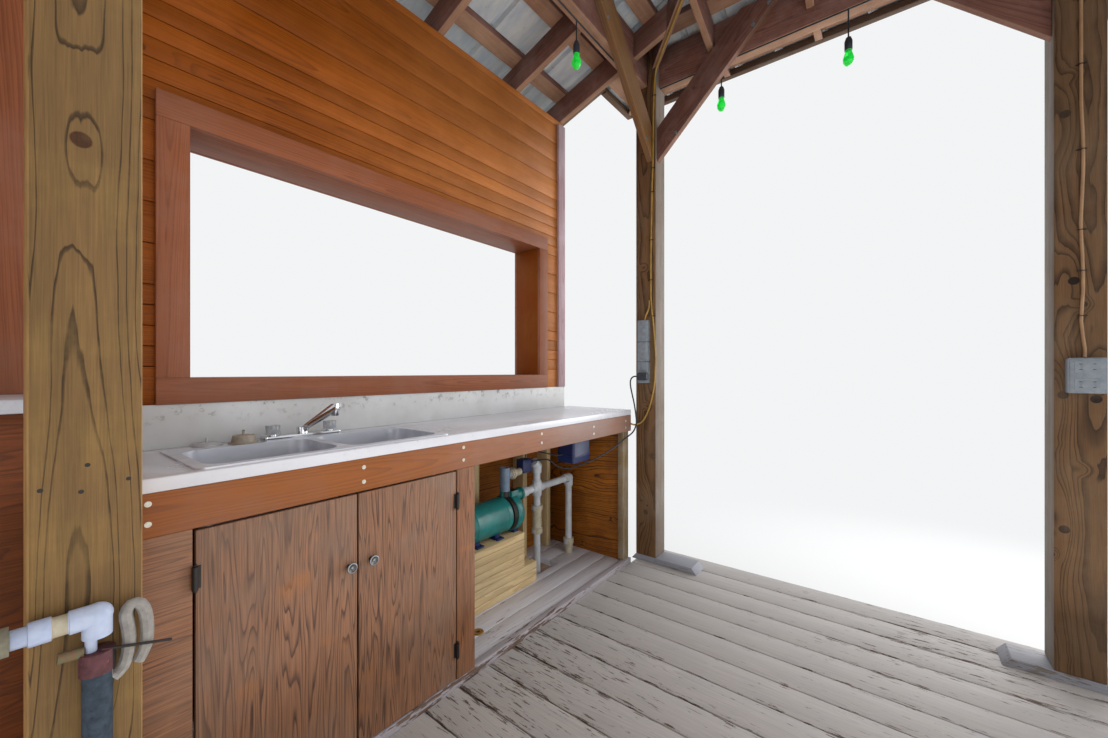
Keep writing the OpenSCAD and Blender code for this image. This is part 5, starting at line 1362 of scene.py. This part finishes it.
    def riser(self) -> None:
        """The pipe that rises at the bar's left end, with its foam and its rusty valve."""
        dressed("riser_pipe", "new_pvc", "white_pvc", name="riser_elbow", bevel=1.5, accents=(
            ("cream", lambda p: -47.0 < p.x < -28.0),))
        dressed("riser_foam", "sleeve", "foam", bevel=0, accents=(
            ("dark_foam", lambda p: p.x > -40.0 and p.z < 1356.5 and p.x < 32.0),
            ("loop_foam", lambda p: p.x > -60.0 and p.z >= 1330.0 and (p.x > 26.0 or p.z > 1356.5))))
        dressed("riser_valve", "valve", "red_paint", bevel=1.0, accents=(
            ("lever", lambda p: p.x < -17.0), ("zinc", lambda p: p.x > 92.0),
            ("black", lambda p: p.x > 26.0)))


@dataclass(frozen=True)
class Fastener:
    """Heads of one kind of screw, bolt or staple, set by Geometry Nodes where the timber shows them."""

    name: str
    finish: str
    radius: float
    height: float
    corners: int
    facing: Vector
    places: tuple[Triple, ...]
    stretch: Triple = (1.0, 1.0, 1.0)

    def tree(self) -> Tree:
        """Builds the tree: a washer and a head on every point of the mesh."""
        tree = bpy.data.node_groups.new(self.name, "GeometryNodeTree")
        for label, way, kind in (
                ("Geometry", "INPUT", "Geometry"), ("Head Radius", "INPUT", "Float"),
                ("Head Height", "INPUT", "Float"), ("Finish", "INPUT", "Material"),
                ("Geometry", "OUTPUT", "Geometry")):
            tree.interface.new_socket(label, in_out=way, socket_type="NodeSocket" + kind)
        given = add(tree, "NodeGroupInput").outputs
        head = add(tree, "GeometryNodeMeshCylinder", {
            "Vertices": self.corners, "Radius": given["Head Radius"], "Depth": given["Head Height"]})
        wide = add(tree, "Math", (given["Head Radius"], 1.45), operation="MULTIPLY")
        thin = add(tree, "Math", (given["Head Height"], 0.25), operation="MULTIPLY")
        washer = add(tree, "GeometryNodeMeshCylinder", {"Vertices": 16, "Radius": wide, "Depth": thin})
        both = add(tree, "GeometryNodeJoinGeometry", (head,))
        tree.links.new(washer.outputs["Mesh"], both.inputs[0])
        turn = add(tree, "FunctionNodeAlignRotationToVector", {"Vector": self.facing}, axis="Z")
        placed = add(tree, "GeometryNodeInstanceOnPoints", {
            "Points": given["Geometry"], "Instance": both, "Rotation": turn, "Scale": self.stretch})
        real = add(tree, "GeometryNodeRealizeInstances", {"Geometry": placed})
        done = add(tree, "GeometryNodeSetMaterial", {"Geometry": real, "Material": given["Finish"]})
        add(tree, "NodeGroupOutput", {"Geometry": done})
        return tree

    def build(self) -> None:
        """Sets the heads, and makes them one plain mesh on the building's body."""
        points = bpy.data.meshes.new(self.name + "_points")
        points.from_pydata([along(*p) for p in self.places], [], [])
        carrier = bpy.data.objects.new(self.name + "_points", points)
        bpy.context.scene.collection.objects.link(carrier)
        modifier = carrier.modifiers.new(self.name, "NODES")
        modifier.node_group = self.tree()
        values = {"Head Radius": self.radius * MM, "Head Height": self.height * MM,
                  "Finish": MATERIALS[self.finish]}
        for item in modifier.node_group.interface.items_tree:
            if item.item_type == "SOCKET" and item.in_out == "INPUT" and item.name in values:
                modifier[item.identifier] = values[item.name]
        graph = bpy.context.evaluated_depsgraph_get()
        made = bpy.data.meshes.new_from_object(carrier.evaluated_get(graph))
        bpy.data.objects.remove(carrier)
        made.name = self.name
        settle(made, "black_iron", self.finish)


def fasteners() -> None:
    """Places the screws, bolts, nail holes and staples."""
    deckward, left = Vector((0.0, 1.0, 0.0)), Vector((1.0, 0.0, 0.0))
    screws = {103: (1601, 1556), 602: (1597, 1552), 1001: (1604, 1556), 1472: (1603, 1561),
              1922: (1591, 1553), 2284: (1590, 1550)}
    nails = ((-2, 1725), (-10, 1678), (-58, 1690), (52, 1690))
    # Depths and heights of the staples on the two posts' cables
    staples = ((339, 3054), (340, 2733), (342, 2430), (341, 2275), (342, 2105), (-1392, 3607),
               (-1398, 3160), (-1405, 3013), (-1412, 2715), (-1413, 2466), (-1396, 2240))
    for made in (
            Fastener("apron_screws", "screw", 4.5, 2.4, 12, deckward, tuple(
                (x, -1519.3, z) for x, pair in screws.items() for z in pair)),
            Fastener("post_nails", "black", 2.6, 0.8, 8, deckward, tuple(
                (x, -1374.4, z) for x, z in nails)),
            Fastener("cable_staples", "black", 1.6, 13.0, 8, left, tuple(
                (2412.0, y, z) for y, z in staples), (1.0, 6.5, 1.0)),
            Fastener("brace_bolts", "zinc", 8.0, 6.0, 6, deckward, tuple(
                (x, -1404.5, 5643.0 - x) for x in (2330.0, 1880.0))),
            Fastener("end_brace_bolts", "zinc", 8.0, 6.0, 6, left, tuple(
                (2436.0, -1384.0 + away, 3225.0 + away) for away in (120.0, 560.0, 640.0)))):
        made.build()


@dataclass
class Studio:
    """A pale floor, soft light from every side, and the camera where the photograph was taken."""

    eye: Triple = (0.108, -0.217, 1.895)
    heading: float = 127.9
    focal: float = 437.0
    frame_width: float = 1108.0
    horizon: float = 371.5
    middle_row: float = 369.0
    sensor: float = 36.0
    floor_colour: str = "#e6e6e4"
    sky_light: str = "#f4f6fa"
    backdrop: str = "#f3f4f5"
    # Half of the floor's width, and where it turns to the backdrop's white, in metres
    reach: float = 60.0
    fade: tuple[float, float] = (3.6, 7.5)
    # Each lamp's place, what it aims at, its width in metres and its power in watts
    lamps: dict[str, tuple[Triple, Triple, float, float]] = field(default_factory=lambda: {
        "open_front": ((0.0, 7.0, 3.2), (0.0, -2.0, 2.0), 5.0, 120.0),
        "deck_bounce": ((-0.6, 0.4, 0.95), (-0.6, 0.4, 3.5), 3.4, 34.0),
        "under_roof": ((-0.9, -0.5, 3.1), (-0.9, -0.9, 0.9), 2.2, 9.0),
        "right_end": ((-7.5, 1.5, 3.0), (0.0, -1.5, 2.2), 4.0, 200.0),
        "left_end": ((7.5, 1.5, 3.0), (0.0, -1.5, 2.2), 4.0, 90.0)})

    def camera(self) -> None:
        """A level camera whose shift puts the horizon where the photograph has it."""
        data = bpy.data.cameras.new("camera")
        data.sensor_width = self.sensor
        data.lens = self.focal / self.frame_width * self.sensor
        data.shift_y = (self.horizon - self.middle_row) / self.frame_width
        data.clip_start, data.clip_end = 0.05, 200.0
        made = bpy.data.objects.new("camera", data)
        made.location = self.eye
        made.rotation_euler = (math.pi / 2, 0.0, math.radians(self.heading))
        bpy.context.scene.collection.objects.link(made)
        bpy.context.scene.camera = made

    def seen(self, tree: Tree, *rays: str) -> Source:
        """Builds 1 for the rays that show the backdrop, and 0 for those that light the object.

        Args:
            tree: The world's or the floor's tree.
            rays: The kinds of ray.

        Returns:
            The share.
        """
        path = add(tree, "LightPath")
        share = path.outputs[rays[0]]
        for ray in rays[1:]:
            share = add(tree, "Math", (share, path.outputs[ray]), operation="MAXIMUM")
        return share

    def world(self) -> None:
        """Even light from all round, and a white background."""
        world = bpy.data.worlds.new("studio")
        bpy.context.scene.world = world
        world.use_nodes = True
        tree = world.node_tree
        tree.nodes.clear()
        seen = self.seen(tree, "Is Camera Ray", "Is Transmission Ray")
        light = add(tree, "Background", (linear(self.sky_light),))
        shown = add(tree, "Background", (linear(self.backdrop),))
        add(tree, "OutputWorld", {"Surface": add(tree, "MixShader", (seen, light, shown))})

    def ground(self) -> None:
        """A wide pale floor under the piles."""
        made, tree = material("pale_floor")
        shader = add(tree, "BsdfDiffuse", (linear(self.floor_colour),))
        # Away from the building the floor shows the backdrop's own white, so that no horizon shows
        seen = self.seen(tree, "Is Camera Ray", "Is Glossy Ray", "Is Transmission Ray")
        place = add(tree, "TexCoord").outputs["Object"]
        away = add(tree, "VectorMath", (place,), operation="LENGTH")
        share = add(tree, "MapRange", (away, *self.fade), **SMOOTH)
        share = add(tree, "Math", (share, seen), operation="MULTIPLY")
        white = add(tree, "Emission", (linear(self.backdrop),))
        add(tree, "OutputMaterial", {"Surface": add(tree, "MixShader", (share, shader, white))})
        mesh = bpy.data.meshes.new("floor")
        far = self.reach
        mesh.from_pydata([(-far, -far, 0), (far, -far, 0), (far, far, 0), (-far, far, 0)], [], [(0, 1, 2, 3)])
        mesh.materials.append(made)
        floor = bpy.data.objects.new("floor", mesh)
        bpy.context.scene.collection.objects.link(floor)

    def light(self) -> None:
        """Soft light that reaches under the roof from its open sides."""
        self.world()
        self.ground()
        for name, (place, aim, size, power) in self.lamps.items():
            data = bpy.data.lights.new(name, "AREA")
            data.shape, data.size, data.energy = "SQUARE", size, power
            made = bpy.data.objects.new(name, data)
            made.location = place
            made.rotation_euler = (Vector(aim) - Vector(place)).to_track_quat("-Z", "Y").to_euler()
            made.visible_camera = False
            bpy.context.scene.collection.objects.link(made)


def main() -> None:
    """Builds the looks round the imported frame."""
    NODES.update(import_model()["nodes"])
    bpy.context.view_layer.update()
    for name, finish in FINISHES.items():
        MATERIALS[name] = finish.make()
    studio = Studio()
    studio.camera()
    fittings = Fittings()
    fittings.cord()
    for part in (BarWall(), Frame(), Bar(), fittings):
        part.build()
    fasteners()
    for node, finish in (("bar_roof", "sheet"), ("front_roof", "sheet"), ("end_roofs", "end_sheet"),
                         ("roof_caps", "sheet"), ("sink", "steel")):
        NODES[node].data.materials.clear()
        NODES[node].data.materials.append(MATERIALS[finish])
    studio.light()
    bpy.context.scene.view_settings.view_transform = "Standard"


if __name__ == "__main__":
    main()
